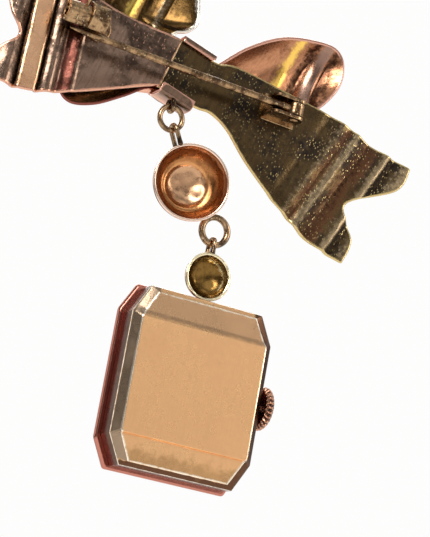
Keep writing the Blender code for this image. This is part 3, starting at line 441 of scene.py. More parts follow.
    def tube(
        self, path: Grid, radius: float | Grid, side: Point, closed: bool = False, sides: int = 16, **marks: object
    ) -> "Skin":
        """Adds a round wire along a flat curve, with quarter-round ends if it is open.

        Args:
            path: The points of the curve.
            radius: The wire's radius, one for all or one for each point.
            side: The unit normal of the plane that the curve lies in.
            closed: Whether the curve closes on itself.
            sides: The steps round the wire.
            marks: The skin's marks.

        Returns:
            This skin.
        """
        radii = np.broadcast_to(np.asarray(radius, float), len(path))
        if not closed:
            turn = np.linspace(math.pi / 2, 0.0, 5)
            first, last = unit(path[1] - path[0]), unit(path[-1] - path[-2])
            head = path[0] - np.outer(radii[0] * np.sin(turn), first)
            foot = path[-1] + np.outer(radii[-1] * np.sin(turn[::-1]), last)
            path = np.concatenate([head, path[1:-1], foot])
            radii = np.concatenate([radii[0] * np.cos(turn), radii[1:-1], radii[-1] * np.cos(turn[::-1])])
        circle = arc(1.0, 0.0, 360.0 * (1 - 1 / sides), sides)
        return self.sweep(path, side, radii[:, None, None] * circle, closed, **marks)

    def loft(self, profile: Grid, fillet: float = 0.25) -> "Skin":
        """Adds a clipped rectangle carried round a closed profile.

        Each profile row gives a half width, a half height and a place along Y, and becomes one loop with
        rounded corners, whose clips shrink with it near the middle. The mark `rim` is the distance to the
        profile's own corners or the outline's.

        Args:
            profile: The rows (half width, half height, y), already rounded, closed on itself or pole to pole.
            fillet: The rounding of the outline's corners.

        Returns:
            This skin.
        """
        loops = np.stack([self.outline(*row[:2], fillet) for row in profile])
        heights = np.broadcast_to(profile[:, 2, None], loops.shape[:2])
        grid = np.stack([loops[..., 0], heights, loops[..., 1]], axis=-1)
        bends = np.linalg.norm(np.diff(unit(np.diff(profile, axis=0)), axis=0), axis=1)
        turning = profile[1:-1][bends > 0.05]
        row_rim = nearest(profile, turning) if len(turning) else np.full(len(profile), 9.0)
        widest = int(profile[:, 0].argmax())
        column_rim = nearest(loops[widest], clipped(*profile[widest][:2], CORNER))
        rim = np.minimum(row_rim[:, None], column_rim[None])
        poled = profile[0, 0] < 1e-6
        return self.add(grid, close_rows=not poled, close_columns=True, rim=rim)

    @staticmethod
    def outline(half_width: float, half_height: float, fillet: float) -> Grid:
        """A clipped rectangle with rounded corners; under 2.5 mm across, its clips shrink in proportion."""
        share = min(1.0, half_width / 2.5) + 1e-5
        loop = clipped(max(half_width, 1e-5), max(half_height, 2e-5), (CORNER[0] * share, CORNER[1] * share))
        return filleted(loop, fillet * share, 3, closed=True)

    def remark(self, name: str, at: Callable[[Grid], Grid]) -> "Skin":
        """Sets a mark from where each point lies so far."""
        self.marks[name] = [np.broadcast_to(at(points), len(points)) for points in self.points]
        return self

    def move(self, place: Place) -> "Skin":
        """Carries every point so far from a place to the row's frame."""
        self.points = [place.out(points) for points in self.points]
        return self

    def build(self, name: str, sharp: float = 50.0) -> bpy.types.Object:
        """Makes the mesh object: doubles merged, faces turned out, smooth but for edges over an angle.

        Args:
            name: The piece's name.
            sharp: The angle in degrees over which an edge is drawn sharp.

        Returns:
            The new object, at the origin.
        """
        points, faces = np.concatenate(self.points) * MM, np.concatenate(self.faces)
        mesh = bpy.data.meshes.new(name)
        mesh.vertices.add(len(points))
        mesh.vertices.foreach_set("co", points.astype(np.float32).ravel())
        mesh.loops.add(faces.size)
        mesh.loops.foreach_set("vertex_index", faces.astype(np.int32).ravel())
        mesh.polygons.add(len(faces))
        mesh.polygons.foreach_set("loop_start", np.arange(0, faces.size, 4, dtype=np.int32))
        mesh.update(calc_edges=True)
        for mark, values in self.marks.items():
            layer = mesh.attributes.new(mark, "FLOAT", "POINT")
            layer.data.foreach_set("value", np.concatenate(values).astype(np.float32))
        merge_and_face_out(mesh)
        mesh.shade_smooth()
        mesh.set_sharp_from_angle(angle=math.radians(sharp))
        made = bpy.data.objects.new(name, mesh)
        bpy.context.scene.collection.objects.link(made)
        return made


def usual_marks(mesh: bpy.types.Mesh) -> None:
    """Gives every point of a mesh the usual marks."""
    for name, usual in MARKS.items():
        layer = mesh.attributes.new(name, "FLOAT", "POINT")
        layer.data.foreach_set("value", np.full(len(mesh.vertices), usual, np.float32))


def merge_and_face_out(mesh: bpy.types.Mesh) -> None:
    """Merges a mesh's doubled points, drops faces that fell together, and turns the rest outwards."""
    work = bmesh.new()
    work.from_mesh(mesh)
    bmesh.ops.remove_doubles(work, verts=work.verts, dist=2e-7)
    bmesh.ops.dissolve_degenerate(work, edges=work.edges, dist=1e-8)
    bmesh.ops.recalc_face_normals(work, faces=work.faces)
    work.to_mesh(mesh)
    work.free()


def dress(piece: bpy.types.Object, body: str, material: bpy.types.Material, slot: str, *nodes: str) -> None:
    """Gives a piece its material and its body, and hides the frame's solids that it stands for.

    Args:
        piece: The finished piece.
        body: The body that it moves with.
        material: Its material.
        slot: The record's material slot; not used.
        nodes: The frame's nodes that it replaces.
    """
    piece.data.materials.clear()
    piece.data.materials.append(material)
    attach(piece, body)
    if nodes:
        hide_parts(*nodes)
    LOG.info("%s rides on %s, %d faces", piece.name, body, len(piece.data.polygons))


# ---------------------------------------------------------------- shader groups


class Graph:
    """A node tree with short ways to add and join nodes."""

    def __init__(self, tree: bpy.types.NodeTree) -> None:
        """Wraps a tree."""
        self.tree = tree

    def node(self, kind: str, sockets: dict[str | int, object] | None = None, **settings: object) -> bpy.types.Node:
        """Adds a node.

        Args:
            kind: The node's type, without its ShaderNode prefix unless it is a group input or output.
            sockets: Input socket to a value, or to the output socket that feeds it.
            settings: The node's own properties.

        Returns:
            The node.
        """
        made = self.tree.nodes.new(kind if kind.startswith("NodeGroup") else "ShaderNode" + kind)
        for name, value in settings.items():
            setattr(made, name, value)
        return self.feed(made, sockets or {})

    def feed(self, node: bpy.types.Node, sockets: dict[str | int, object]) -> bpy.types.Node:
        """Fills a node's input sockets.

        Args:
            node: The node.
            sockets: Input socket to a value, or to the output socket that feeds it.

        Returns:
            The node.
        """
        for name, value in sockets.items():
            if isinstance(value, bpy.types.NodeSocket):
                self.tree.links.new(value, node.inputs[name])
            else:
                node.inputs[name].default_value = value
        return node

    def maths(self, operation: str, *values: object, clamp: bool = False) -> bpy.types.NodeSocket:
        """The result of a Math node."""
        return self.node("Math", dict(enumerate(values)), operation=operation, use_clamp=clamp).outputs[0]

    def ramp(self, value: object, low: object, high: object, out: Pair = (0.0, 1.0)) -> bpy.types.NodeSocket:
        """A value mapped smoothly from low..high to the two values of out."""
        sockets = {"Value": value, "From Min": low, "From Max": high, "To Min": out[0], "To Max": out[1]}
        return self.node("MapRange", sockets, interpolation_type="SMOOTHSTEP").outputs["Result"]

    def mix(self, share: object, one: object, other: object) -> bpy.types.NodeSocket:
        """Two colours mixed by a share."""
        one, other = (c if isinstance(c, bpy.types.NodeSocket) else (*c, 1.0) for c in (one, other))
        made = self.node("Mix", {0: share, 6: one, 7: other}, data_type="RGBA")
        return made.outputs[2]

    def blend(self, share: object, one: object, other: object) -> bpy.types.NodeSocket:
        """Two numbers mixed by a share."""
        return self.node("Mix", {0: share, 2: one, 3: other}, data_type="FLOAT").outputs[0]

    def mark(self, name: str) -> bpy.types.NodeSocket:
        """One of the marks that a skin's points carry."""
        return self.node("Attribute", attribute_name=name).outputs["Fac"]

    def group(self, tree: bpy.types.NodeTree, sockets: dict[str, object]) -> bpy.types.Node:
        """Places a node group."""
        return self.feed(self.node("Group", node_tree=tree), sockets)

    def place(self, lean: float = 0.0) -> bpy.types.NodeSocket:
        """Object coordinates, turned about Y so that a piece that leans by these degrees stands upright."""
        place = self.node("TexCoord").outputs["Object"]
        return self.node("Mapping", {"Vector": place, "Rotation": (0.0, -math.radians(lean), 0.0)}).outputs[0]

    def bump(self, height: object, distance: float) -> bpy.types.NodeSocket:
        """The normal bent by a height of this many millimetres."""
        return self.node("Bump", {"Height": height, "Strength": 1.0, "Distance": distance * MM}).outputs[0]


def start_material(name: str, metallic: float) -> tuple[bpy.types.Material, Graph, bpy.types.Node]:
    """Starts a material.

    Args:
        name: The finish's name.
        metallic: How metallic its Principled shader is.

    Returns:
        The material, its graph and its shader.
    """
    made = bpy.data.materials.new(name)
    made.use_nodes = True
    shader = made.node_tree.nodes["Principled BSDF"]
    shader.inputs["Metallic"].default_value = metallic
    return made, Graph(made.node_tree), shader


class Effects:
    """The node groups that several finishes share, each built once."""

    def __init__(self) -> None:
        """Builds every group."""
        self.clouds = self.build_clouds()
        self.streaks = self.build_streaks()
        self.scuffs = self.build_scuffs()
        self.wear = self.build_wear()
        self.specks = self.build_specks()

    @staticmethod
    def start(name: str, numbers: dict[str, float], outputs: Sequence[str]) -> tuple[Graph, object, object]:
        """Starts a group with a Vector input, number inputs and number outputs.

        Args:
            name: The group's name.
            numbers: Each number input and its usual value.
            outputs: The names of the outputs.

        Returns:
            The graph, its input node and its output node.
        """
        tree = bpy.data.node_groups.new(name, "ShaderNodeTree")
        tree.interface.new_socket("Vector", in_out="INPUT", socket_type="NodeSocketVector")
        for label, usual in numbers.items():
            made = tree.interface.new_socket(label, in_out="INPUT", socket_type="NodeSocketFloat")
            made.default_value = usual
        for label in outputs:
            tree.interface.new_socket(label, in_out="OUTPUT", socket_type="NodeSocketFloat")
        graph = Graph(tree)
        return graph, graph.node("NodeGroupInput"), graph.node("NodeGroupOutput")

    def build_clouds(self) -> bpy.types.NodeTree:
        """Soft blotches: layered noise, taken from 0 at Low to 1 at High."""
        graph, given, out = self.start("tarnish_clouds", {"Scale": 300.0, "Low": 0.4, "High": 0.65}, ["Mask"])
        noise = graph.node(
            "TexNoise",
            {"Vector": given.outputs["Vector"], "Scale": given.outputs["Scale"], "Detail": 6.0, "Roughness": 0.62},
        )
        mask = graph.ramp(noise.outputs["Fac"], given.outputs["Low"], given.outputs["High"])
        graph.feed(out, {"Mask": mask})
        return graph.tree

    def build_streaks(self) -> bpy.types.NodeTree:
        """Fine parallel lines: noise that changes fast along X and slowly along Z."""
        graph, given, out = self.start("drawn_streaks", {"Across": 9000.0, "Lengthwise": 250.0}, ["Value"])
        scale = graph.node(
            "CombineXYZ", {"X": given.outputs["Across"], "Y": given.outputs["Across"], "Z": given.outputs["Lengthwise"]}
        )
        factors = {0: given.outputs["Vector"], 1: scale.outputs[0]}
        stretched = graph.node("VectorMath", factors, operation="MULTIPLY")
        noise = graph.node("TexNoise", {"Vector": stretched.outputs[0], "Scale": 1.0, "Detail": 3.0})
        graph.feed(out, {"Value": noise.outputs["Fac"]})
        return graph.tree

    def build_scuffs(self) -> bpy.types.NodeTree:
        """Hairline scratches: two stretched noises, each turned its own way, kept only at their peaks."""
        graph, given, out = self.start("hair_scuffs", {"Scale": 500.0, "Share": 0.3}, ["Mask"])
        found = []
        for turn, stretch in ((0.6, 22.0), (-0.95, 30.0), (1.45, 26.0)):
            turned = graph.node("Mapping", {"Vector": given.outputs["Vector"], "Rotation": (0.0, turn, 0.0)})
            factors = {0: turned.outputs[0], 1: (stretch, 6.0, 1.0)}
            stretched = graph.node("VectorMath", factors, operation="MULTIPLY")
            sockets = {"Vector": stretched.outputs[0], "Scale": given.outputs["Scale"], "Detail": 2.0}
            noise = graph.node("TexNoise", sockets).outputs["Fac"]
            floor = graph.maths("SUBTRACT", 0.86, graph.maths("MULTIPLY", given.outputs["Share"], 0.3))
            found.append(graph.ramp(noise, floor, graph.maths("ADD", floor, 0.04)))
        most = graph.maths("MAXIMUM", graph.maths("MAXIMUM", found[0], found[1]), found[2])
        graph.feed(out, {"Mask": most})
        return graph.tree

    def build_wear(self) -> bpy.types.NodeTree:
        """Rubbed edges: 1 at the rim and 0 past Width millimetres, with a ragged end."""
        graph, given, out = self.start("rubbed_edge", {"Rim": 9.0, "Width": 0.3}, ["Mask"])
        noise = graph.node("TexNoise", {"Vector": given.outputs["Vector"], "Scale": 1400.0, "Detail": 4.0})
        ragged = graph.ramp(noise.outputs["Fac"], 0.3, 0.7, (0.5, 1.5))
        reach = graph.maths("MULTIPLY", given.outputs["Width"], ragged)
        mask = graph.ramp(graph.maths("DIVIDE", given.outputs["Rim"], reach), 0.4, 1.0, (1.0, 0.0))
        graph.feed(out, {"Mask": mask})
        return graph.tree

    def build_specks(self) -> bpy.types.NodeTree:
        """Scattered pinpoints: the cores of random cells, thinned out by their own colour."""
        graph, given, out = self.start("bright_specks", {"Scale": 2500.0, "Share": 0.3}, ["Mask"])
        factors = {0: given.outputs["Vector"], 1: (1.0, 1.0, 0.55)}
        squashed = graph.node("VectorMath", factors, operation="MULTIPLY")
        cells = graph.node("TexVoronoi", {"Vector": squashed.outputs[0], "Scale": given.outputs["Scale"]})
        core = graph.ramp(cells.outputs["Distance"], 0.08, 0.4, (1.0, 0.0))
        lot = graph.node("SeparateColor", {0: cells.outputs["Color"]}).outputs[0]
        kept = graph.maths("LESS_THAN", lot, given.outputs["Share"])
        graph.feed(out, {"Mask": graph.maths("MULTIPLY", core, kept)})
        return graph.tree


EFFECTS = Effects()


# ---------------------------------------------------------------- finishes


@dataclass(frozen=True)
class Metal:
    """A worn metal finish.

    A clean colour is covered by blotches of tarnish, rubbed bright at the edges, and marked by drawn streaks,
    hairline scuffs and specks. Its tints are laid where a piece's marks ask for them: most paint highlights,
    shade and reflections; the patina tints darken solder and joints and grey one side of the case back.
    """

    name: str
    clean: Colour
    tarnish: Colour
    worn: Colour
    lean: float = 0.0
    roughness: Pair = (0.22, 0.45)
    clouds: tuple[float, float, float] = (350.0, 0.42, 0.7)
    streaks: Pair = (5000.0, 300.0)
    streak_depth: float = 0.25
    scuffs: float = 0.15
    specks: float = 0.0
    wear: float = 0.25
    bump: float = 0.012
    tints: tuple[tuple[str, Colour], ...] = ()
    front: Colour | None = None
    marked: bool = True

    def material(self) -> bpy.types.Material:
        """Builds the material.

        Returns:
            The material, whose patterns lie in object space turned by the lean.
        """
        made, graph, shader = start_material(self.name, 1.0)
        place = graph.place(self.lean)
        scale, low, high = self.clouds
        broad = {"Vector": place, "Scale": scale, "Low": low, "High": high}
        clouds = graph.group(EFFECTS.clouds, broad).outputs[0]
        fine = graph.group(EFFECTS.clouds, {**broad, "Scale": scale * 7, "Low": 0.35, "High": 0.75}).outputs[0]
        across, lengthwise = self.streaks
        drawn = {"Vector": place, "Across": across, "Lengthwise": lengthwise}
        streaks = graph.group(EFFECTS.streaks, drawn).outputs[0]
        scuffs = graph.group(EFFECTS.scuffs, {"Vector": place, "Scale": 420.0, "Share": self.scuffs}).outputs[0]
        rim = graph.mark("rim") if self.marked else MARKS["rim"]
        wear = graph.group(EFFECTS.wear, {"Vector": place, "Rim": rim, "Width": self.wear}).outputs[0]

        grime = graph.maths("ADD", clouds, graph.maths("MULTIPLY_ADD", fine, 0.5, -0.25), clamp=True)
        colour = graph.mix(grime, self.clean, self.tarnish)
        colour = graph.mix(graph.ramp(streaks, 0.35, 0.75, (0.0, 0.35)), colour, self.tarnish)
        ragged = graph.maths("MULTIPLY_ADD", fine, 0.5, -0.25)
        # Painted light: the tints lay painted highlights, painted shade and painted reflections, and the patina colour,
        # by the piece's marks.
        for mark, tint in self.tints:
            share = graph.ramp(graph.maths("ADD", graph.mark(mark), ragged), 0.15, 0.85)
            colour = graph.mix(graph.maths("MULTIPLY", share, 0.92), colour, tint)
        if self.front:
            back = graph.mark("back")
            colour = graph.mix(back, self.front, colour)
            grime = graph.maths("MULTIPLY", grime, back)
        if self.specks:
            sockets = {"Vector": place, "Scale": 5200.0, "Share": self.specks}
            bright = graph.group(EFFECTS.specks, sockets).outputs[0]
            wear = graph.maths("MAXIMUM", wear, graph.maths("MULTIPLY", bright, clouds))
        rubbed = graph.maths("MAXIMUM", wear, graph.maths("MULTIPLY", scuffs, 0.55))
        colour = graph.mix(rubbed, colour, self.worn)
        rough = graph.blend(grime, *self.roughness)
        rough = graph.blend(wear, rough, min(self.roughness) * 0.9)
        height = graph.maths("MULTIPLY", streaks, self.streak_depth)
        height = graph.maths("ADD", height, graph.maths("MULTIPLY", fine, 0.35))
        height = graph.maths("SUBTRACT", height, graph.maths("MULTIPLY", scuffs, 0.5))
        graph.feed(shader, {"Base Color": colour, "Roughness": rough, "Normal": graph.bump(height, self.bump)})
        return made


@dataclass(frozen=True)
class Striped:
    """A movement plate's finish: broad polished stripes, each shaded from light to dark."""

    name: str
    clean: Colour
    dark: Colour
    lean: float
    width: float = 0.9

    def material(self) -> bpy.types.Material:
        """Builds the material: a saw wave along the plate's own X, turned by the stripes' angle."""
        made, graph, shader = start_material(self.name, 1.0)
        turned = graph.place(self.lean)
        across = graph.node("SeparateXYZ", {0: turned}).outputs["X"]
        phase = graph.maths("FRACT", graph.maths("DIVIDE", across, self.width * MM))
        drawn = {"Vector": turned, "Across": 9000.0, "Lengthwise": 400.0}
        streaks = graph.group(EFFECTS.streaks, drawn).outputs[0]
        ragged = graph.maths("MULTIPLY_ADD", streaks, 0.4, -0.2)
        share = graph.maths("MULTIPLY_ADD", phase, 0.8, ragged, clamp=True)
        looks = {"Base Color": graph.mix(share, self.clean, self.dark), "Roughness": graph.blend(share, 0.2, 0.36)}
        graph.feed(shader, {**looks, "Normal": graph.bump(graph.maths("ADD", share, streaks), 0.006)})
        return made


@dataclass(frozen=True)
class Glass:
    """The watch crystal: clear, with faint smears that only change its roughness."""

    name: str = "crystal_glass"

    def material(self) -> bpy.types.Material:
        """Builds the material, which lets shadow rays through so that the dial is lit."""
        made, graph, shader = start_material(self.name, 0.0)
        graph.feed(shader, {"Transmission Weight": 1.0, "IOR": 1.49, "Base Color": (0.98, 0.99, 0.98, 1.0)})
        broad = {"Vector": graph.place(), "Scale": 220.0, "Low": 0.45, "High": 0.8}
        smears = graph.group(EFFECTS.clouds, broad).outputs[0]
        graph.feed(shader, {"Roughness": graph.ramp(smears, 0.0, 1.0, (0.01, 0.05))})
        shadow = graph.node("LightPath").outputs["Is Shadow Ray"]
        clear = graph.node("BsdfTransparent").outputs[0]
        both = graph.node("MixShader", {0: shadow, 1: shader.outputs[0], 2: clear})
        graph.feed(made.node_tree.nodes["Material Output"], {"Surface": both.outputs[0]})
        return made


@dataclass(frozen=True)
class DialFace:
    """A silvered dial: fine rays from its centre, a little foxing, and a warmer edge."""

    name: str
    clean: Colour
    aged: Colour
    at: Point
    lean: float

    def material(self) -> bpy.types.Material:
        """Builds the material: noise by the angle round the dial's centre gives the rays."""
        made, graph, shader = start_material(self.name, 0.35)
        place = graph.place()
        centred = graph.node("VectorMath", {0: place, 1: tuple(v * MM for v in self.at)}, operation="SUBTRACT")
        parts = graph.node("SeparateXYZ", {0: centred.outputs[0]})
        angle = graph.maths("ARCTAN2", parts.outputs["Z"], parts.outputs["X"])
        spread = graph.node("CombineXYZ", {"X": graph.maths("MULTIPLY", angle, 40.0)})
        rays = graph.node("TexNoise", {"Vector": spread.outputs[0], "Scale": 1.0, "Detail": 3.0}).outputs["Fac"]
        broad = {"Vector": place, "Scale": 260.0, "Low": 0.5, "High": 0.8}
        clouds = graph.group(EFFECTS.clouds, broad).outputs[0]
        far = graph.node("VectorMath", {0: centred.outputs[0]}, operation="LENGTH").outputs["Value"]
        edge = graph.ramp(far, 5.5 * MM, 9.0 * MM, (0.0, 0.6))
        share = graph.maths("MAXIMUM", graph.maths("MULTIPLY", clouds, 0.5), edge)
        looks = {"Base Color": graph.mix(share, self.clean, self.aged), "Normal": graph.bump(rays, 0.004)}
        graph.feed(shader, {**looks, "Roughness": graph.ramp(rays, 0.3, 0.7, (0.3, 0.48))})
        return made


# ---------------------------------------------------------------- bow


@dataclass(frozen=True)
class Relief:
    """Folds that cross a sheet.

    Each guide is (run, height, highlight, shade, reflection), and a smooth curve joins them. The last three are
    painted light: how much painted highlight lies on a fold's crest, painted shade (with tarnish) in its hollow,
    and painted reflection on the bands between. The run is the distance |x| - slant z along the ribbon.
    """

    guides: tuple[tuple[float, float, float, float, float], ...]
    slant: float = 0.0

    def at(self, points: Grid, column: int) -> Grid:
        """One column of the guides at each point, from its first and last coordinates."""
        run = np.abs(points[..., 0]) - self.slant * points[..., -1]
        curve = smooth_curve(self.guides, 12)
        return np.interp(run, curve[:, 0], curve[:, column])

    def mark(self, skin: Skin) -> None:
        """Sets the skin's marks for painted highlight, painted shade with tarnish, and painted reflection."""
        for column, name in ((2, "crest"), (3, "trough"), (4, "blush")):
            skin.remark(name, lambda points, column=column: np.clip(self.at(points, column), 0.0, 1.0))


@dataclass(frozen=True)
class Tail:
    """A ribbon tail: a patch between four edges, folded towards its notched end."""

    name: str
    top: tuple[Pair, ...]
    end: tuple[Pair, ...]
    bottom: tuple[Pair, ...]
    relief: Relief
    finish: Metal
    y: float = -2.5
    thickness: float = 0.35
    cells: tuple[int, int] = (72, 300)

    def middle(self) -> Grid:
        """The sheet's middle surface.

        The patch is the blend across from the top edge to the bottom one, plus the blend along from the root to
        the end, less the blend of the four corners. The relief lifts it along Y.

        Returns:
            The points, rows by columns by 3.
        """
        v, u = (np.linspace(0.0, 1.0, count) for count in self.cells)
        top, bottom = smooth_curve(self.top, 16), smooth_curve(self.bottom, 16)
        end = smooth_curve(self.end, 16)
        v3, u3 = v[:, None, None], u[None, :, None]
        across = along(top, u)[None] * (1 - v3) + along(bottom, u)[None] * v3
        root = top[0] * (1 - v[:, None]) + bottom[0] * v[:, None]
        lengthwise = root[:, None] * (1 - u3) + along(end, v)[:, None] * u3
        corners = (top[0] * (1 - u3) + top[-1] * u3) * (1 - v3) + (bottom[0] * (1 - u3) + bottom[-1] * u3) * v3
        flat = across + lengthwise - corners
        edge = nearest(flat, border(flat))
        sag = 0.1 * (1 - smoothstep(0.0, 1.6, edge)) * smoothstep(3.0, 6.0, np.abs(flat[..., 0]))
        height = self.y + self.relief.at(flat, 1) - sag
        return np.stack([flat[..., 0], height, flat[..., 1]], axis=-1)

    def build(self, place: Place) -> None:
        """Builds the tail and dresses it."""
        skin = Skin().sheet(self.middle(), self.thickness)
        self.relief.mark(skin)
        piece = skin.move(place).build(self.name)
        dress(piece, "bow", self.finish.material(), "bow_sheet", self.name)


@dataclass(frozen=True)
class Leaf:
    """A dished loop of the bow, hollow towards the back, with folds across it."""

    name: str
    outline: tuple[Pair, ...]
    centre: Pair
    depth: float
    relief: Relief
    finish: Metal
    base: float = -3.95
    thickness: float = 0.35
    rings: int = 56

    def middle(self) -> Grid:
        """The leaf's middle surface: rings that shrink by s from the rim, at y = base - depth (1 - s^2.4)."""
        rim = smooth_curve(self.outline, 16, closed=True)
        share = np.linspace(0.0, 1.0, self.rings)[:, None]
        flat = np.array(self.centre) + share[..., None] * (rim - np.array(self.centre))
        fade = smoothstep(1.0, 0.8, share)
        height = self.base - self.depth * (1 - share**2.4) + fade * self.relief.at(flat, 1)
        return np.stack([flat[..., 0], height, flat[..., 1]], axis=-1)

    def build(self, place: Place) -> None:
        """Builds the leaf and dresses it."""
        skin = Skin().dish(self.middle(), self.thickness)
        self.relief.mark(skin)
        dress(skin.move(place).build(self.name), "bow", self.finish.material(), "bow_leaf", self.name)


@dataclass(frozen=True)
class Knot:
    """The band round the middle of the bow, with a puffed front, whose ends fold over the back."""

    finish: Metal
    half_width: float = 2.2
    thickness: float = 0.35
    line: tuple[Pair, ...] = (
        (-1.93, 2.9),
        (-1.93, 3.3),
        (-2.2, 3.42),
        (-4.2, 3.42),
        (-5.5, 2.95),
        (-6.25, 1.9),
        (-6.52, 0.6),
        (-6.52, -0.6),
        (-6.25, -1.9),
        (-5.5, -2.95),
        (-4.2, -3.42),
        (-2.2, -3.42),
        (-1.93, -3.3),
        (-1.93, -2.4),
    )

    def build(self, place: Place) -> None:
        """Builds the band: its line (y, z) goes across the width, pinched at both ends and fluted in front."""
        line = filleted(self.line, 0.2)
        x = np.linspace(-self.half_width + 0.17, self.half_width - 0.17, 60)
        front = smoothstep(-4.0, -6.2, line[:, :1])
        pinch = 0.28 * front * np.abs(x / self.half_width) ** 3 + 0.05 * front * (1 + np.cos(x * 4.2))
        grid = np.stack(np.broadcast_arrays(x, line[:, :1] + pinch, line[:, 1:] * (1 - 0.04 * pinch)), axis=-1)
        skin = Skin().sheet(grid, self.thickness)
        skin.remark("back", lambda points: smoothstep(-3.6, -2.2, points[:, 1]))
        dress(skin.move(place).build("knot"), "bow", self.finish.material(), "bow_knot", "knot")


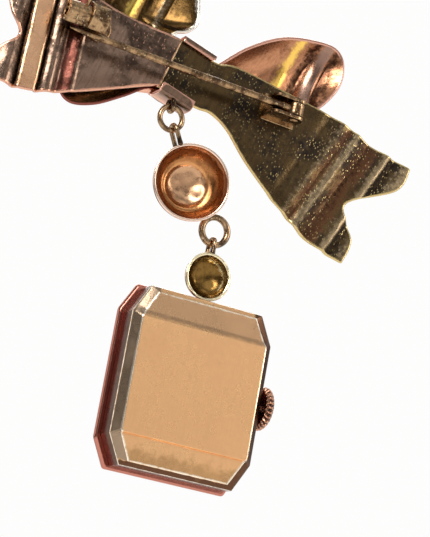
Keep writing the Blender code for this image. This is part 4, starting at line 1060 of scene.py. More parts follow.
@dataclass
class Bow:
    """The sheet-metal bow: two tails, two loops, a lower leaf and the knot."""

    place: Place = field(default_factory=lambda: Place((-1.15, 0.0, 0.2), -26.6))
    rose: Colour = (0.80, 0.46, 0.34)

    def sheet_finish(self, name: str, clean: Colour, tarnish: Colour, tints: dict[str, Colour], **other: object) -> Metal:
        """A bow finish with polished rose gold on its front."""
        usual = {"worn": (0.62, 0.34, 0.26), "front": self.rose, "lean": self.place.lean, "wear": 0.13}
        return Metal(name, clean, tarnish, tints=tuple(tints.items()), **{**usual, **other})

    def tails(self) -> list[Tail]:
        """The two tails with their folds."""
        right = Relief(
            (
                (13.0, 0.0, 0.0, 0.0, 0.0),
                (15.0, 0.0, 0.0, 0.05, 0.0),
                (16.2, -0.125, 0.0, 0.45, 0.1),
                (17.2, 0.05, 0.15, 0.1, 0.3),
                (17.85, 0.14, 0.5, 0.0, 0.1),
                (18.5, 0.0, 0.0, 0.35, 0.5),
                (19.1, -0.05, 0.05, 0.3, 0.6),
                (19.9, 0.225, 0.75, 0.0, 0.0),
                (20.7, 0.025, 0.0, 0.45, 0.4),
                (21.6, -0.225, 0.0, 0.6, 0.7),
                (22.6, -0.15, 0.0, 0.3, 0.7),
                (23.4, 0.075, 0.2, 0.1, 0.3),
                (24.2, 0.25, 0.9, 0.0, 0.0),
                (24.8, -0.025, 0.0, 0.9, 0.0),
                (25.3, -0.15, 0.0, 0.7, 0.0),
                (26.3, 0.05, 0.5, 0.0, 0.0),
                (27.5, 0.2, 0.8, 0.0, 0.0),
                (30.0, 0.25, 0.6, 0.0, 0.0),
            ),
            0.2,
        )
        left = Relief(
            (
                (11.0, 0.0, 0.0, 0.0, 0.0),
                (12.3, 0.0, 0.0, 0.0, 0.0),
                (12.7, 0.12, 0.0, 0.0, 0.45),
                (13.1, 0.02, 0.0, 0.0, 1.0),
                (13.7, -0.25, 0.0, 0.1, 1.0),
                (14.3, -0.28, 0.0, 0.1, 0.6),
                (15.2, 0.25, 0.15, 0.0, 0.0),
                (15.9, 0.1, 0.0, 0.3, 0.0),
                (16.35, -0.32, 0.0, 1.0, 0.0),
                (16.7, 0.12, 0.9, 0.0, 0.0),
                (17.0, 0.2, 1.0, 0.0, 0.0),
                (18.3, 0.2, 1.0, 0.0, 0.0),
                (18.6, 0.12, 0.9, 0.0, 0.0),
                (18.95, -0.32, 0.0, 1.0, 0.0),
                (19.4, 0.0, 0.0, 0.4, 0.0),
                (20.2, 0.35, 0.15, 0.0, 0.0),
                (21.3, 0.1, 0.0, 0.0, 0.2),
                (22.5, -0.3, 0.0, 0.0, 1.0),
                (24.0, -0.3, 0.0, 0.0, 1.0),
            ),
            0.25,
        )
        # Painted light on the tails: pale highlights on the folds' crests, dark painted shade with tarnish in their
        # hollows, and red-brown painted reflections in the bands between.
        olive = {"blush": (0.14, 0.06, 0.03), "trough": (0.018, 0.012, 0.008), "crest": (0.34, 0.26, 0.16)}
        plum = {
            "blush": (0.085, 0.024, 0.018),
            "trough": (0.03, 0.018, 0.012),
            "crest": (0.68, 0.41, 0.24),
        }
        return [
            Tail(
                "right_tail",
                ((2.12, 2.9), (-2.4, 2.9), (-5.0, 3.9), (-11.6, 4.7), (-18.4, 5.3), (-23.0, 4.9), (-28.2, 5.1)),
                ((-28.2, 5.1), (-27.7, 2.1), (-22.8, -2.6), (-25.2, -5.9), (-25.2, -8.7)),
                ((2.12, -2.9), (-2.4, -2.6), (-4.4, -2.2), (-6.9, -2.8), (-11.1, -5.1), (-19.4, -8.3), (-25.2, -8.7)),
                right,
                self.sheet_finish("olive_patina", (0.10, 0.066, 0.030), (0.022, 0.018, 0.016), olive,
                                  specks=0.5, wear=0.08,
                                  worn=(0.62, 0.48, 0.22), roughness=(0.24, 0.5), bump=0.03, clouds=(260.0, 0.4, 0.62),
                                  streaks=(3200.0, 240.0), scuffs=0.3),
            ),
            Tail(
                "left_tail",
                ((2.17, 2.9), (3.4, 2.75), (9.0, 1.8), (14.0, 1.7), (18.2, 1.4), (22.5, -0.4)),
                ((22.5, -0.4), (19.9, -4.5), (17.9, -6.4), (19.1, -8.8), (20.5, -12.1)),
                ((2.17, -2.9), (3.4, -3.5), (10.3, -8.6), (15.3, -11.4), (20.5, -12.1)),
                left,
                self.sheet_finish("plum_patina", (0.26, 0.175, 0.13), (0.05, 0.034, 0.026), plum, specks=0.35,
                                  worn=(0.72, 0.40, 0.28), roughness=(0.22, 0.5), bump=0.03, scuffs=0.35,
                                  clouds=(240.0, 0.42, 0.62)),
            ),
        ]

    def leaves(self) -> list[Leaf]:
        """The two loops and the small lower leaf."""
        right = Relief(
            (
                (6.0, 0.0, 0.0, 0.0, 0.0),
                (9.2, 0.0, 0.0, 0.0, 0.0),
                (10.2, 0.12, 0.3, 0.0, 0.0),
                (10.9, 0.22, 1.0, 0.0, 0.0),
                (11.7, 0.0, 0.2, 0.1, 0.1),
                (12.5, -0.22, 0.0, 0.7, 0.0),
                (13.1, -0.22, 0.0, 0.8, 0.0),
                (13.8, 0.16, 0.0, 0.0, 0.9),
                (14.5, 0.16, 0.0, 0.1, 0.8),
                (15.0, -0.15, 0.0, 0.9, 0.0),
                (15.7, -0.05, 0.0, 0.55, 0.0),
                (16.4, 0.1, 0.0, 0.35, 0.0),
                (18.0, 0.0, 0.0, 0.5, 0.0),
            )
        )
        upper = Relief(
            (
                (0.5, 0.0, 0.0, 0.3, 0.0),
                (3.2, 0.0, 0.0, 0.3, 0.0),
                (4.0, -0.1, 0.0, 0.4, 0.0),
                (4.7, 0.15, 0.1, 0.0, 0.7),
                (5.4, 0.0, 0.0, 0.2, 0.0),
                (6.5, -0.15, 0.0, 0.7, 0.0),
                (7.8, 0.22, 1.0, 0.0, 0.0),
                (8.8, 0.0, 0.0, 0.3, 0.0),
                (10.0, -0.15, 0.0, 0.6, 0.0),
                (11.0, 0.1, 0.4, 0.0, 0.0),
                (12.0, 0.0, 0.0, 0.2, 0.0),
                (15.0, 0.0, 0.0, 0.0, 0.0),
            )
        )
        # Painted light on the loops: a yellow highlight on the folds' crests, dark painted shade with tarnish in their
        # hollows, and a pale pinkish painted reflection between them. The lower leaf's shade is darker towards its
        # ends.
        copper = {"trough": (0.035, 0.014, 0.009), "blush": (0.30, 0.19, 0.15), "crest": (0.95, 0.62, 0.14)}
        amber = {"trough": (0.035, 0.018, 0.006), "blush": (0.26, 0.20, 0.13), "crest": (0.46, 0.32, 0.08)}
        shadow = {"trough": (0.05, 0.03, 0.01)}
        return [
            Leaf(
                "right_loop",
                ((-0.5, 1.2), (-2.6, 2.7), (-5.4, 7.2), (-8.7, 10.7), (-12.6, 12.7), (-15.0, 13.1), (-16.5, 11.8))
                + ((-16.9, 9.0), (-15.2, 5.0), (-11.5, 1.8), (-7.0, -0.4), (-3.0, -1.6), (-0.5, -1.2)),
                (-10.0, 6.0),
                2.3,
                right,
                self.sheet_finish("copper_loop", (0.50, 0.24, 0.13), (0.20, 0.085, 0.045), copper,
                                  roughness=(0.2, 0.36)),
            ),
            Leaf(
                "upper_loop",
                ((0.5, 1.2), (2.6, 2.8), (2.7, 4.0), (1.6, 4.9), (1.0, 6.3), (1.7, 8.2), (3.0, 10.3), (5.4, 11.9))
                + ((8.7, 11.6), (12.1, 9.4), (13.9, 5.9), (12.8, 2.3), (9.0, -0.2), (5.0, -1.2), (2.6, -1.3))
                + ((0.5, -1.0),),
                (7.0, 4.8),
                2.3,
                upper,
                self.sheet_finish(
                    "amber_loop",
                    (0.115, 0.066, 0.022),
                    (0.045, 0.025, 0.01),
                    amber,
                    # The near-white worn colour on a 0.3 mm rim is partly rubbed metal and partly a painted highlight
                    # on the rim.
                    worn=(0.85, 0.81, 0.74),
                    wear=0.3,
                    roughness=(0.2, 0.36),
                ),
            ),
            Leaf(
                "lower_leaf",
                ((0.45, -1.8), (0.45, -2.4), (2.6, -2.9), (4.8, -5.4), (7.2, -7.9), (9.6, -9.2), (11.2, -8.4))
                + ((11.0, -5.6), (8.0, -3.0), (4.4, -1.9)),
                (6.2, -4.9),
                1.0,
                Relief(((0.0, 0.0, 0.0, 0.2, 0.0), (7.0, 0.1, 0.0, 0.0, 0.0), (14.0, 0.0, 0.0, 0.4, 0.0))),
                self.sheet_finish("olive_leaf", (0.12, 0.085, 0.035), (0.05, 0.03, 0.014), shadow,
                                  worn=(0.24, 0.08, 0.06), wear=0.07),
            ),
        ]

    def build(self) -> None:
        """Builds every part of the bow."""
        for part in [*self.tails(), *self.leaves()]:
            part.build(self.place)
        bronze = self.sheet_finish("knot_patina", (0.22, 0.14, 0.10), (0.06, 0.042, 0.028), {},
                                   specks=0.3, worn=(0.6, 0.33, 0.25))
        Knot(bronze).build(self.place)


# ---------------------------------------------------------------- pin and catch


@dataclass
class Brooch:
    """The pin, its hinge and its safety catch, in the pin's own place."""

    finish: Metal
    place: Place = field(default_factory=lambda: Place((0.0, 0.0, 0.0), -13.3))
    hinge_x: float = -13.3
    tip_x: float = 13.6
    pin_radius: float = 0.4
    eye: tuple[float, float, float] = (0.41, 0.95, 0.7)
    floor_y: float = -2.295
    catch: Pair = (11.0, 1.75)
    mouth: float = 28.0

    def build(self) -> None:
        """Builds the five pieces."""
        material = self.finish.material()
        for name, body, slot, skin in (
            ("pin_stem", "pin", "pin_metal", self.stem()),
            ("pin_bracket", "bow", "pin_metal", self.bracket()),
            ("pin_rivet", "bow", "pin_metal", self.rivet()),
            ("catch_housing", "bow", "pin_metal", self.housing()),
            ("catch_roller", "catch_roller", "pin_metal", self.roller()),
        ):
            dress(skin.move(self.place).build(name, 40.0), body, material, slot, name)

    def stem(self) -> Skin:
        """The pin: a turned stem that tapers to its point, and an eye bored for the rivet."""
        length = self.tip_x - self.hinge_x
        wall = [(0.0, 0.45), (0.5, 0.45), (0.52, 1.6), (self.pin_radius, 3.0), (self.pin_radius - 0.02, length / 2)]
        wall += [(self.pin_radius - 0.05, length - 3.0), (0.24, length - 0.9), (0.07, length - 0.03), (0.0, length)]
        stem = filleted(wall, 0.4, 4)
        bore, outer, half = self.eye
        ring = filleted([(bore, -half), (outer, -half), (outer, half), (bore, half)], 0.14, 4, closed=True)
        at = (self.hinge_x, 0.0, 0.0)
        skin = Skin().lathe(stem, (1, 0, 0), (0, 1, 0), at, 32)
        return skin.lathe(ring, (0, 0, 1), (1, 0, 0), at, 48)

    def bracket(self) -> Skin:
        """The hinge bracket: two upright ears, rounded along the top, on one thin base."""
        skin = Skin()
        x = self.hinge_x + np.array([-1.1, 2.9])
        ear = filleted([(-2.15, x[0]), (0.85, x[0]), (0.85, x[1]), (-2.15, x[1])], 1.1, 8, closed=True)
        middle = ear.mean(axis=0)
        for z in (-0.95, 0.95):
            layers = filleted([(0.0, -0.2), (1.0, -0.2), (1.0, 0.2), (0.0, 0.2)], 0.09, 4)
            flat = middle + layers[:, 0, None, None] * (ear - middle)
            height = np.broadcast_to(z + layers[:, 1, None], flat.shape[:2])
            skin.add(np.stack([flat[..., 1], flat[..., 0], height], axis=-1), close_columns=True)
        path = np.stack([np.linspace(*x, 5), np.full(5, -2.14), np.zeros(5)], axis=-1)
        return skin.sweep(path, (0, 0, 1), slab(1.5, 0.155, 0.1))

    def rivet(self) -> Skin:
        """The rivet: a rod with a domed head at each end."""
        half = [(0.36, 0.0), (0.36, 1.2), (0.62, 1.2), (0.6, 1.3), (0.42, 1.42), (0.0, 1.45)]
        profile = [(r, -h) for r, h in half[:0:-1]] + half[1:]
        return Skin().lathe(filleted(profile, 0.05), (0, 0, 1), (1, 0, 0), (self.hinge_x, 0, 0), 40)

    def curl(self, radius: float, wall: float, ends: Pair) -> Skin:
        """A rolled sleeve with a mouth towards -Z, as a rounded slab carried round an arc."""
        turn = arc(radius, -90.0 + self.mouth, 270.0 - self.mouth, 72)
        x = self.catch[0] + sum(ends) / 2
        path = np.stack([np.full(len(turn), x), turn[:, 0], turn[:, 1] + self.catch[1]], axis=-1)
        return Skin().sweep(path, (1, 0, 0), slab((ends[1] - ends[0]) / 2, wall / 2, 0.12))

    def housing(self) -> Skin:
        """The catch's C housing with its collars, neck and round foot."""
        skin = self.curl(1.425, 0.45, (-1.0, 1.0))
        x, z = self.catch
        path = np.stack([np.full(5, x), np.linspace(-1.5, -2.2, 5), np.full(5, z)], axis=-1)
        skin.sweep(path, (1, 0, 0), slab(0.95, 0.8, 0.2))
        disc = [(0.0, 0.0), (1.45, 0.0), (1.45, 0.2), (1.25, 0.3), (0.0, 0.3)]
        return skin.lathe(filleted(disc, 0.08), (0, 1, 0), (1, 0, 0), (x - 1.2, self.floor_y, z), 56)

    def roller(self) -> Skin:
        """The turning sleeve inside the housing, with its thumb lever."""
        skin = self.curl(0.875, 0.55, (-1.2, 3.4))
        x, z = self.catch[0] + 1.45, self.catch[1]
        away = np.array([0.0, math.cos(math.radians(60)), math.sin(math.radians(60))])
        path = np.array([x, 0.0, z]) + np.linspace(0.95, 2.0, 8)[:, None] * away
        return skin.tube(path, np.linspace(0.18, 0.2, 8), (1, 0, 0))


# ---------------------------------------------------------------- chain


@dataclass(frozen=True)
class Dome:
    """A thin round shell, hollow towards the back, with a rolled rim and a pressed step in its floor."""

    name: str
    body: str
    at: Point
    radius: float
    depth: float
    finish: Metal
    slot: str
    yaw: float = 0.0
    lean: float = 0.0
    wall: float = 0.3
    step_at: float = 0.0
    dents: tuple[tuple[float, float, float, float], ...] = ()
    waver: float = 0.0
    wall_rows: int = 44
    lip_rows: int = 7
    steps: int = 144
    wall_reach: float = 88.0

    def profile(self, steps: int) -> Grid:
        """The shell's section for each step round it.

        The outside and the inside are quarter ellipses, (r sin a, -d cos a), joined by a round lip. The inside
        has a low ridge at a share of its radius, and each dent is a soft bump exp(-(distance / size)^2).

        Args:
            steps: The steps round.

        Returns:
            The points (r, h), rows by steps by 2.
        """
        a = np.radians(np.linspace(0.0, self.wall_reach, self.wall_rows))[:, None]
        turn = np.linspace(0.0, math.tau, steps, endpoint=False)[None]
        lip = self.wall / 2
        outside = [self.radius * np.sin(a) + 0 * turn, -self.depth * np.cos(a) + 0 * turn]
        inner, floor = self.radius - self.wall, self.depth - self.wall
        r = inner * np.sin(a[::-1]) + 0 * turn
        share = r / inner
        h = -floor * np.cos(a[::-1]) + 0 * turn
        if self.step_at:
            step = 0.14 * np.exp(-(((share - self.step_at) / 0.07) ** 2))
            h = h + step + 0.05 * np.exp(-((share / 0.45) ** 2))
        for angle, out, size, height in self.dents:
            x, z = out * math.cos(math.radians(angle)), out * math.sin(math.radians(angle))
            apart = (share * np.cos(turn) - x) ** 2 + (share * np.sin(turn) - z) ** 2
            h = h + height * np.exp(-apart / size**2)
        bend = np.linspace(0.0, math.pi, self.lip_rows + 2)[1:-1, None]
        wave = self.waver * (np.sin(9 * turn) + 0.6 * np.sin(14 * turn + 1.0))
        rim = [self.radius - lip + lip * np.cos(bend) + 0 * turn, lip * 0.7 * np.sin(bend) - lip * 0.7 + wave]
        return np.stack([np.concatenate([outside[k], rim[k], (r, h)[k]]) for k in range(2)], axis=-1)

    def build(self) -> None:
        """Builds the dome and dresses it."""
        yaw = math.radians(self.yaw)
        axis = (-math.sin(yaw), math.cos(yaw), 0.0)
        lean = math.radians(self.lean)
        across = np.array([math.cos(yaw) * math.cos(lean), math.sin(yaw) * math.cos(lean), -math.sin(lean)])
        steps, inside = self.steps, self.wall_rows + self.lip_rows
        rows = inside + self.wall_rows
        fall = np.sin(np.radians(np.linspace(self.wall_reach, 0.0, self.wall_rows)))
        share = np.concatenate([np.ones(inside), fall])
        rim = [np.linspace(5.0, 0.2, self.wall_rows), np.zeros(self.lip_rows), (1 - share[inside:]) * self.radius]
        rim = np.concatenate(rim)
        inside = np.concatenate([np.zeros(44), np.linspace(0.0, 1.0, 7), np.ones(44)])
        # Painted light inside the hollow: its middle gets a paler painted reflection and the pressed ridge a painted
        # highlight.
        floor = np.where(np.arange(rows) > 50, 1.0 - smoothstep(0.5, 0.66, share), 0.0)
        ridge = np.where(np.arange(rows) > 50, np.exp(-(((share - 0.62) / 0.07) ** 2)), 0.0)
        marks = {"rim": rim, "back": inside, "blush": floor, "crest": ridge * (self.step_at > 0)}
        skin = Skin().lathe(
            self.profile(steps), axis, tuple(across), self.at, steps, **{k: v[:, None] for k, v in marks.items()}
        )
        dress(skin.build(self.name), self.body, self.finish.material(), self.slot, self.name)


@dataclass
class Chain:
    """The bail, rings, staples and domes between the bow and the watch."""

    wire: Metal
    rose: Metal
    gold: Metal
    watch: Place
    ring_wire: float = 0.29
    loop_wire: float = 0.25
    gap: float = 0.03
    ring_at: Point = (0.63, -2.5, -4.75)
    ring_radius: float = 1.3
    link_at: Point = (-4.5, -2.5, -16.5)
    link: Pair = (1.5, 0.36)
    big_at: Point = (-1.37, -1.5, -11.62)
    big: Pair = (4.2, 3.3)
    small: Pair = (2.6, 2.1)
    small_z: float = 12.15
    staple_radius: float = 0.68
    bail_radius: float = 0.68

    def build(self) -> None:
        """Builds every piece of the chain."""
        wire = self.wire.material()
        dress(self.bail().build("bow_bail"), "bow", wire, "chain_metal", "bow_bail")
        dress(self.ring(self.ring_at, self.ring_radius, self.ring_wire).build("jump_ring"), "jump_ring", wire,
              "chain_metal", "jump_ring")
        dress(self.ring(self.link_at, *self.link).build("big_dome_ring"), "dome_link", wire, "chain_metal",
              "big_dome_ring")
        small_at = tuple(self.watch.out(np.array([0.0, self.big_at[1], self.small_z])))
        for name, body, ring_at, ring, end, size in (
            ("big_dome_loop", "dome_link", self.ring_at, (self.ring_radius, self.ring_wire), self.big_at, self.big),
            ("small_dome_loop", "watch", self.link_at, self.link, small_at, self.small),
        ):
            dress(self.staple(ring_at, ring, end, size).build(name), body, wire, "chain_metal", name)
        dents = ((160.0, 0.38, 0.16, 0.16), (250.0, 0.3, 0.2, 0.12), (20.0, 0.36, 0.13, -0.12))
        dents += ((215.0, 0.5, 0.08, -0.08), (320.0, 0.28, 0.1, 0.1), (95.0, 0.3, 0.2, -0.08))
        Dome("big_dome", "dome_link", self.big_at, *self.big, self.rose, "dome_rose", -10.0, 0.0, 0.3, 0.62,
             dents).build()
        bumps = ((150.0, 0.45, 0.25, 0.1), (300.0, 0.4, 0.3, 0.12), (40.0, 0.4, 0.2, -0.08))
        Dome("small_dome", "watch", small_at, *self.small, self.gold, "dome_gold", 0.0, self.watch.lean, 0.3, 0.0,
             bumps, 0.02).build()

    def bail(self) -> Skin:
        """The fixed loop under the knot: a wire bent down round the jump ring, soldered at both ends."""
        x, y, z = self.ring_at
        low = z + self.ring_radius - self.ring_wire - self.loop_wire - self.gap
        turn = arc(self.bail_radius, 180.0, 360.0, 28) + np.array([y, low + self.bail_radius])
        top = z + self.ring_radius + 0.38
        run = np.concatenate([[[y - self.bail_radius, top]], turn, [[y + self.bail_radius, top]]])
        return self.soldered(np.insert(run, 0, x, axis=1), (1.0, 0.0, 0.0))

    def ring(self, at: Point, radius: float, wire: float) -> Skin:
        """A ring of round wire in the XZ plane, a hair thinner near its joint, which is dark.

        Args:
            at: The ring's middle.
            radius: Its radius to the wire's middle.
            wire: The wire's radius.

        Returns:
            The ring.
        """
        turn = np.linspace(0.0, math.tau, 96, endpoint=False)
        flat = np.stack([np.cos(turn), 0 * turn, np.sin(turn)], axis=-1)
        path = np.array(at) + radius * flat
        wires = wire * (1 - 0.05 * np.exp(-(((turn - 4.2) / 0.25) ** 2)))
        skin = Skin().tube(path, wires, (0, 1, 0), closed=True, sides=20)
        return skin.remark("patina", lambda points: 0.8 * np.exp(-((nearest(points, path[62:66]) - wire) / 0.2) ** 2))

    def staple(self, ring_at: Point, ring: Pair, end_at: Point, size: Pair) -> Skin:
        """A wire loop that hangs in a ring and runs down to the dome that it is soldered to.

        Args:
            ring_at: The middle of the ring.
            ring: The ring's radius and its wire's.
            end_at: The middle of the dome's open face.
            size: The dome's radius and depth.

        Returns:
            The loop.
        """
        run = np.array([end_at[0] - ring_at[0], 0.0, end_at[2] - ring_at[2]])
        distance = float(np.linalg.norm(run))
        way, radius = run / distance, self.staple_radius
        apex = ring[0] - ring[1] - self.loop_wire - self.gap
        lift = self.big_at[1] - self.ring_at[1]
        reach = [distance - size[0] * math.sqrt(1 - ((lift + side * radius) / size[1]) ** 2) - 0.1 for side in (1, -1)]
        turn = arc(radius, 180.0, 0.0, 28) + np.array([0.0, -apex - radius])
        line = np.concatenate([[[-radius, -reach[0]]], turn, [[radius, -reach[1]]]])
        path = np.array(ring_at) + line[:, :1] * np.array([0.0, 1.0, 0.0]) - line[:, 1:] * way
        return self.soldered(path, tuple(np.cross([0.0, 1.0, 0.0], way)))

    def soldered(self, path: Grid, side: Point) -> Skin:
        """A wire whose two ends are dark with solder, and a little thicker.

        Args:
            path: The wire's line.
            side: The unit normal of the plane that it lies in.

        Returns:
            The wire.
        """
        fine = along(path, np.linspace(0.0, 1.0, 72))
        ends = np.minimum(np.linalg.norm(fine - fine[0], axis=1), np.linalg.norm(fine - fine[-1], axis=1))
        skin = Skin().tube(fine, self.loop_wire * (1 + 0.15 * np.exp(-((ends / 0.3) ** 2))), side, sides=20)
        return skin.remark("patina", lambda points: 1 - smoothstep(0.3, 1.5, nearest(points, fine[[0, -1]])))


# ---------------------------------------------------------------- watch


@dataclass
class Case:
    """The watch case: a satin back with a raised panel, polished middle and bezel, crown and crystal."""

    place: Place
    satin: Metal
    polish: Metal
    crown_finish: Metal
    back_face: Pair = (7.25, 8.84)
    back_rim: Pair = (8.1, 9.42)
    rim_y: float = -1.84
    bevel_y: float = -0.55
    tray_y: float = -0.26
    bright_x: float = 5.5
    dark_z: float = -8.9
    panel_half: float = 6.15
    bezel: Pair = (8.55, 9.85)
    opening: Pair = (6.3, 7.7)
    crown_x: Pair = (-9.6, -8.62)
    crown_radius: float = 2.35
    crown_y: float = -2.2
    ridges: int = 26

    def build(self) -> None:
        """Builds the case's pieces."""
        polish = self.polish.material()
        for name, body, material, slot, skin in (
            ("case_back", "case_back", self.satin.material(), "case_satin", self.back()),
            ("bezel", "watch", polish, "case_polish", self.front()),
            ("crown", "crown", self.crown_finish.material(), "crown_metal", self.crown()),
            ("crystal", "watch", Glass().material(), "crystal", self.crystal()),
        ):
            dress(skin.move(self.place).build(name, 35.0), body, material, slot, name)
        middle = rounded_copy("case_middle", 0.07)
        dress(middle, "watch", polish, "case_polish", "case_middle")

    def face(self) -> Grid:
        """The back's face.

        Rows of points run across at one height z, as wide as the clipped rectangle is there. The panel stands
        at y 0.3 between its two steps, the upper one soft and the lower one sharp. Beyond them the face slopes
        away from y 0.05 to -0.15.

        Returns:
            The points, rows by columns by 3.
        """
        w, h = self.back_face
        steps = [self.panel_half + d for d in (-0.3, -0.12, -0.06, 0.0, 0.05, 0.1, 0.16, 0.3)]
        marks = [h, h - 0.03, h - 0.1, h - CORNER[1] + 0.05, h - CORNER[1], h - CORNER[1] - 0.05, *steps]
        soft = np.linspace(self.panel_half - 0.3, self.panel_half + 0.6, 16)
        z = np.unique(np.concatenate([np.linspace(-h, h, 60), marks, -np.array(marks), soft]))
        half = np.minimum(w, w - CORNER[0] * (np.abs(z) - (h - CORNER[1])) / CORNER[1])
        u = np.sin(np.linspace(-1.0, 1.0, 61) * math.pi / 2)
        x = half[:, None] * u[None]
        upper = 1 - smoothstep(self.panel_half - 0.25, self.panel_half + 0.55, z)
        lower = 1 - smoothstep(self.panel_half - 0.02, self.panel_half + 0.07, -z)
        raised = np.where(z > 0, upper, lower)
        groove = 0.03 * np.exp(-(((-z - self.panel_half - 0.12) / 0.06) ** 2))
        slope = 0.05 - 0.2 * np.clip((np.abs(z) - self.panel_half) / (h - self.panel_half), 0.0, 1.0)
        y = (slope + (0.3 - slope) * raised - groove)[:, None] + 0 * x
        y = y - 0.04 * smoothstep(0.12, 0.0, w - np.abs(x))
        return np.stack([x, y, np.broadcast_to(z[:, None], x.shape)], axis=-1)

    def back(self) -> Skin:
        """The whole back: its face, a bevel out to the rim, the side, and a tray hollowed from within.

        A border point (x, z) of the face moves out by (0.6, 0.51) in full at the corners and in proportion
        along each straight edge, so the rim is the same clipped rectangle, wider.
        """
        face = self.face()
        edge = border(face)
        flat = np.array([self.back_face[0] - CORNER[0], self.back_face[1] - CORNER[1]])
        pull = np.clip(edge[:, [0, 2]] / flat, -1.0, 1.0)
        rows = [(0.0, edge[:, 1]), (0.02, edge[:, 1] - 0.015), (0.06, edge[:, 1] - 0.05)]
        spread = np.array(self.back_rim) - np.array(self.back_face)
        low = self.bevel_y
        rows += [(share, edge[:, 1] + share * (low - edge[:, 1])) for share in (0.25, 0.5, 0.75, 0.94)]
        rows += [(1.0, np.full(len(edge), low - 0.07)), (1.0, np.full(len(edge), low - 0.14))]
        rows += [(1.0, np.full(len(edge), y)) for y in (-1.0, -1.6, -1.78)]
        rows += [(0.97, np.full(len(edge), self.rim_y))]
        rows += [(0.3, np.full(len(edge), self.rim_y)), (0.27, np.full(len(edge), self.rim_y + 0.04))]
        loops = []
        for share, y in rows:
            x, z = (edge[:, [0, 2]] + share * spread * pull).T
            loops.append(np.stack([x, y, z], axis=-1))
        tray = face * np.array([0.955, 0.0, 0.965]) + np.array([0.0, self.tray_y, 0.0])
        loops.append(border(tray) + np.array([0.0, -0.2, 0.0]))
        strips = np.stack(loops)
        rim = nearest(face, edge)
        strips = np.concatenate([strips, border(tray)[None]])
        distance, far = (np.abs(strips - strips[row]).sum(axis=-1) for row in (2, 7))
        x, y, z = np.moveaxis(strips, -1, 0)
        # Painted shade: the side wall below the bevel, the bevel on the -X side and the bottom edge are painted near
        # black, for the dark surroundings that they would reflect; the bevel on the +X side takes the patina colour, a
        # greyer, darker tone on that side only.
        side = smoothstep(-0.5, -0.66, y)
        shaded = ((x < -self.bright_x) | (z < self.dark_z)) * 1.0
        skin = Skin().add(face, rim=rim)
        skin.add(strips, close_columns=True, rim=np.minimum(distance, far), trough=np.maximum(side, shaded),
                 patina=(x > self.bright_x) * (1 - shaded) * (1 - side))
        skin.add(tray, rim=9.0)
        # Painted reflections: the strip above the panel is tinted pinker and the strip below it deeper gold.
        skin.remark("blush", lambda p: smoothstep(5.8, 6.6, p[:, 2]) * smoothstep(-0.3, -0.1, p[:, 1]))
        return skin.remark("crest", lambda p: smoothstep(-6.0, -9.0, p[:, 2]) * smoothstep(-0.3, -0.1, p[:, 1]))

    def front(self) -> Skin:
        """The bezel: a closed section of the case's outline, rounded at every edge."""
        w, h = self.bezel
        iw, ih = self.opening
        rows = [(w - 0.15, h - 0.15, -3.23), (w, h, -3.43), (w, h, -3.8), (w - 0.45, h - 0.45, -4.2)]
        rows += [(w - 0.9, h - 0.9, -4.6), (iw + 0.35, ih + 0.35, -4.6), (iw, ih, -4.5), (iw, ih, -4.05)]
        rows += [(w - 1.35, h - 1.35, -4.05), (w - 1.35, h - 1.35, -3.23)]
        skin = Skin().loft(filleted(rows, 0.1, 3, closed=True))
        # Painted highlight: the bezel's front edge and face, forward of y -3.85, take a pale pink tint.
        return skin.remark("crest", lambda points: smoothstep(-3.85, -4.05, points[:, 1]))

    def crystal(self) -> Skin:
        """The glass: a thin shell with a low dome that fits the bezel's opening."""
        w, h = self.opening[0] - 0.03, self.opening[1] - 0.03
        outer = [(0.0, 0.0, -5.3), (w * 0.35, h * 0.35, -5.29), (w - 2.6, h - 2.6, -5.25), (w - 1.1, h - 1.1, -5.12)]
        outer += [(w - 0.3, h - 0.3, -4.9), (w, h, -4.7), (w, h, -4.1)]
        inner = [(w - 0.67, h - 0.67, -4.1), (w - 0.67, h - 0.67, -4.55), (w - 1.2, h - 1.2, -4.74)]
        inner += [(w - 2.6, h - 2.6, -4.86), (w * 0.35, h * 0.35, -4.9), (0.0, 0.0, -4.91)]
        rows = filleted(outer + inner, 0.25, 3)
        return Skin().loft(rows, 0.3)

    def crown(self) -> Skin:
        """The crown: a knurled barrel with a domed cap.

        Its radius is the profile's, less the slot depth times (0.5 - 0.5 cos(n a))^2 for n slots.
        """
        steps = self.ridges * 14
        x0, x1 = self.crown_x
        r = self.crown_radius
        profile = [(0.0, x0 + 0.04), (0.9, x0 + 0.05), (1.55, x0 + 0.1), (1.75, x0), (2.02, x0 + 0.06), (r, x0 + 0.36)]
        profile += [(r, x1 - 0.28), (r - 0.3, x1), (0.9, x1), (0.0, x1)]
        line = filleted(profile, 0.12, 4)
        turn = np.linspace(0.0, math.tau, steps, endpoint=False)[None]
        slots = np.clip(0.5 - 0.62 * np.cos(self.ridges * turn), 0.0, 1.0)
        depth = 0.24 * smoothstep(1.85, r - 0.05, line[:, :1])
        radius = line[:, :1] - depth * slots
        grid = np.stack([radius, line[:, 1:] + 0 * slots], axis=-1)
        # Painted shade: the knurl's slots are painted dark.
        trough = slots * smoothstep(1.85, r - 0.1, line[:, :1])
        return Skin().lathe(grid, (1, 0, 0), (0, 1, 0), (0.0, self.crown_y, 0.0), steps, trough=trough)


def rounded_copy(node: str, width: float) -> bpy.types.Object:
    """A copy of a frame node with its doubles merged and its sharp edges rounded off.

    Args:
        node: The frame's node.
        width: The rounding's width in millimetres.

    Returns:
        The copy, at the origin, with the usual marks.
    """
    source = bpy.data.objects[node]
    mesh = source.data.copy()
    mesh.name = node + "_rounded"
    merge_and_face_out(mesh)
    mesh.shade_smooth()
    mesh.set_sharp_from_angle(angle=math.radians(35))
    usual_marks(mesh)
    made = bpy.data.objects.new(node + "_rounded", mesh)
    bpy.context.scene.collection.objects.link(made)
    edge = made.modifiers.new("Edge", "BEVEL")
    edge.width, edge.segments, edge.limit_method = width * MM, 2, "ANGLE"
    edge.angle_limit = math.radians(35)
    edge.harden_normals = True
    return made


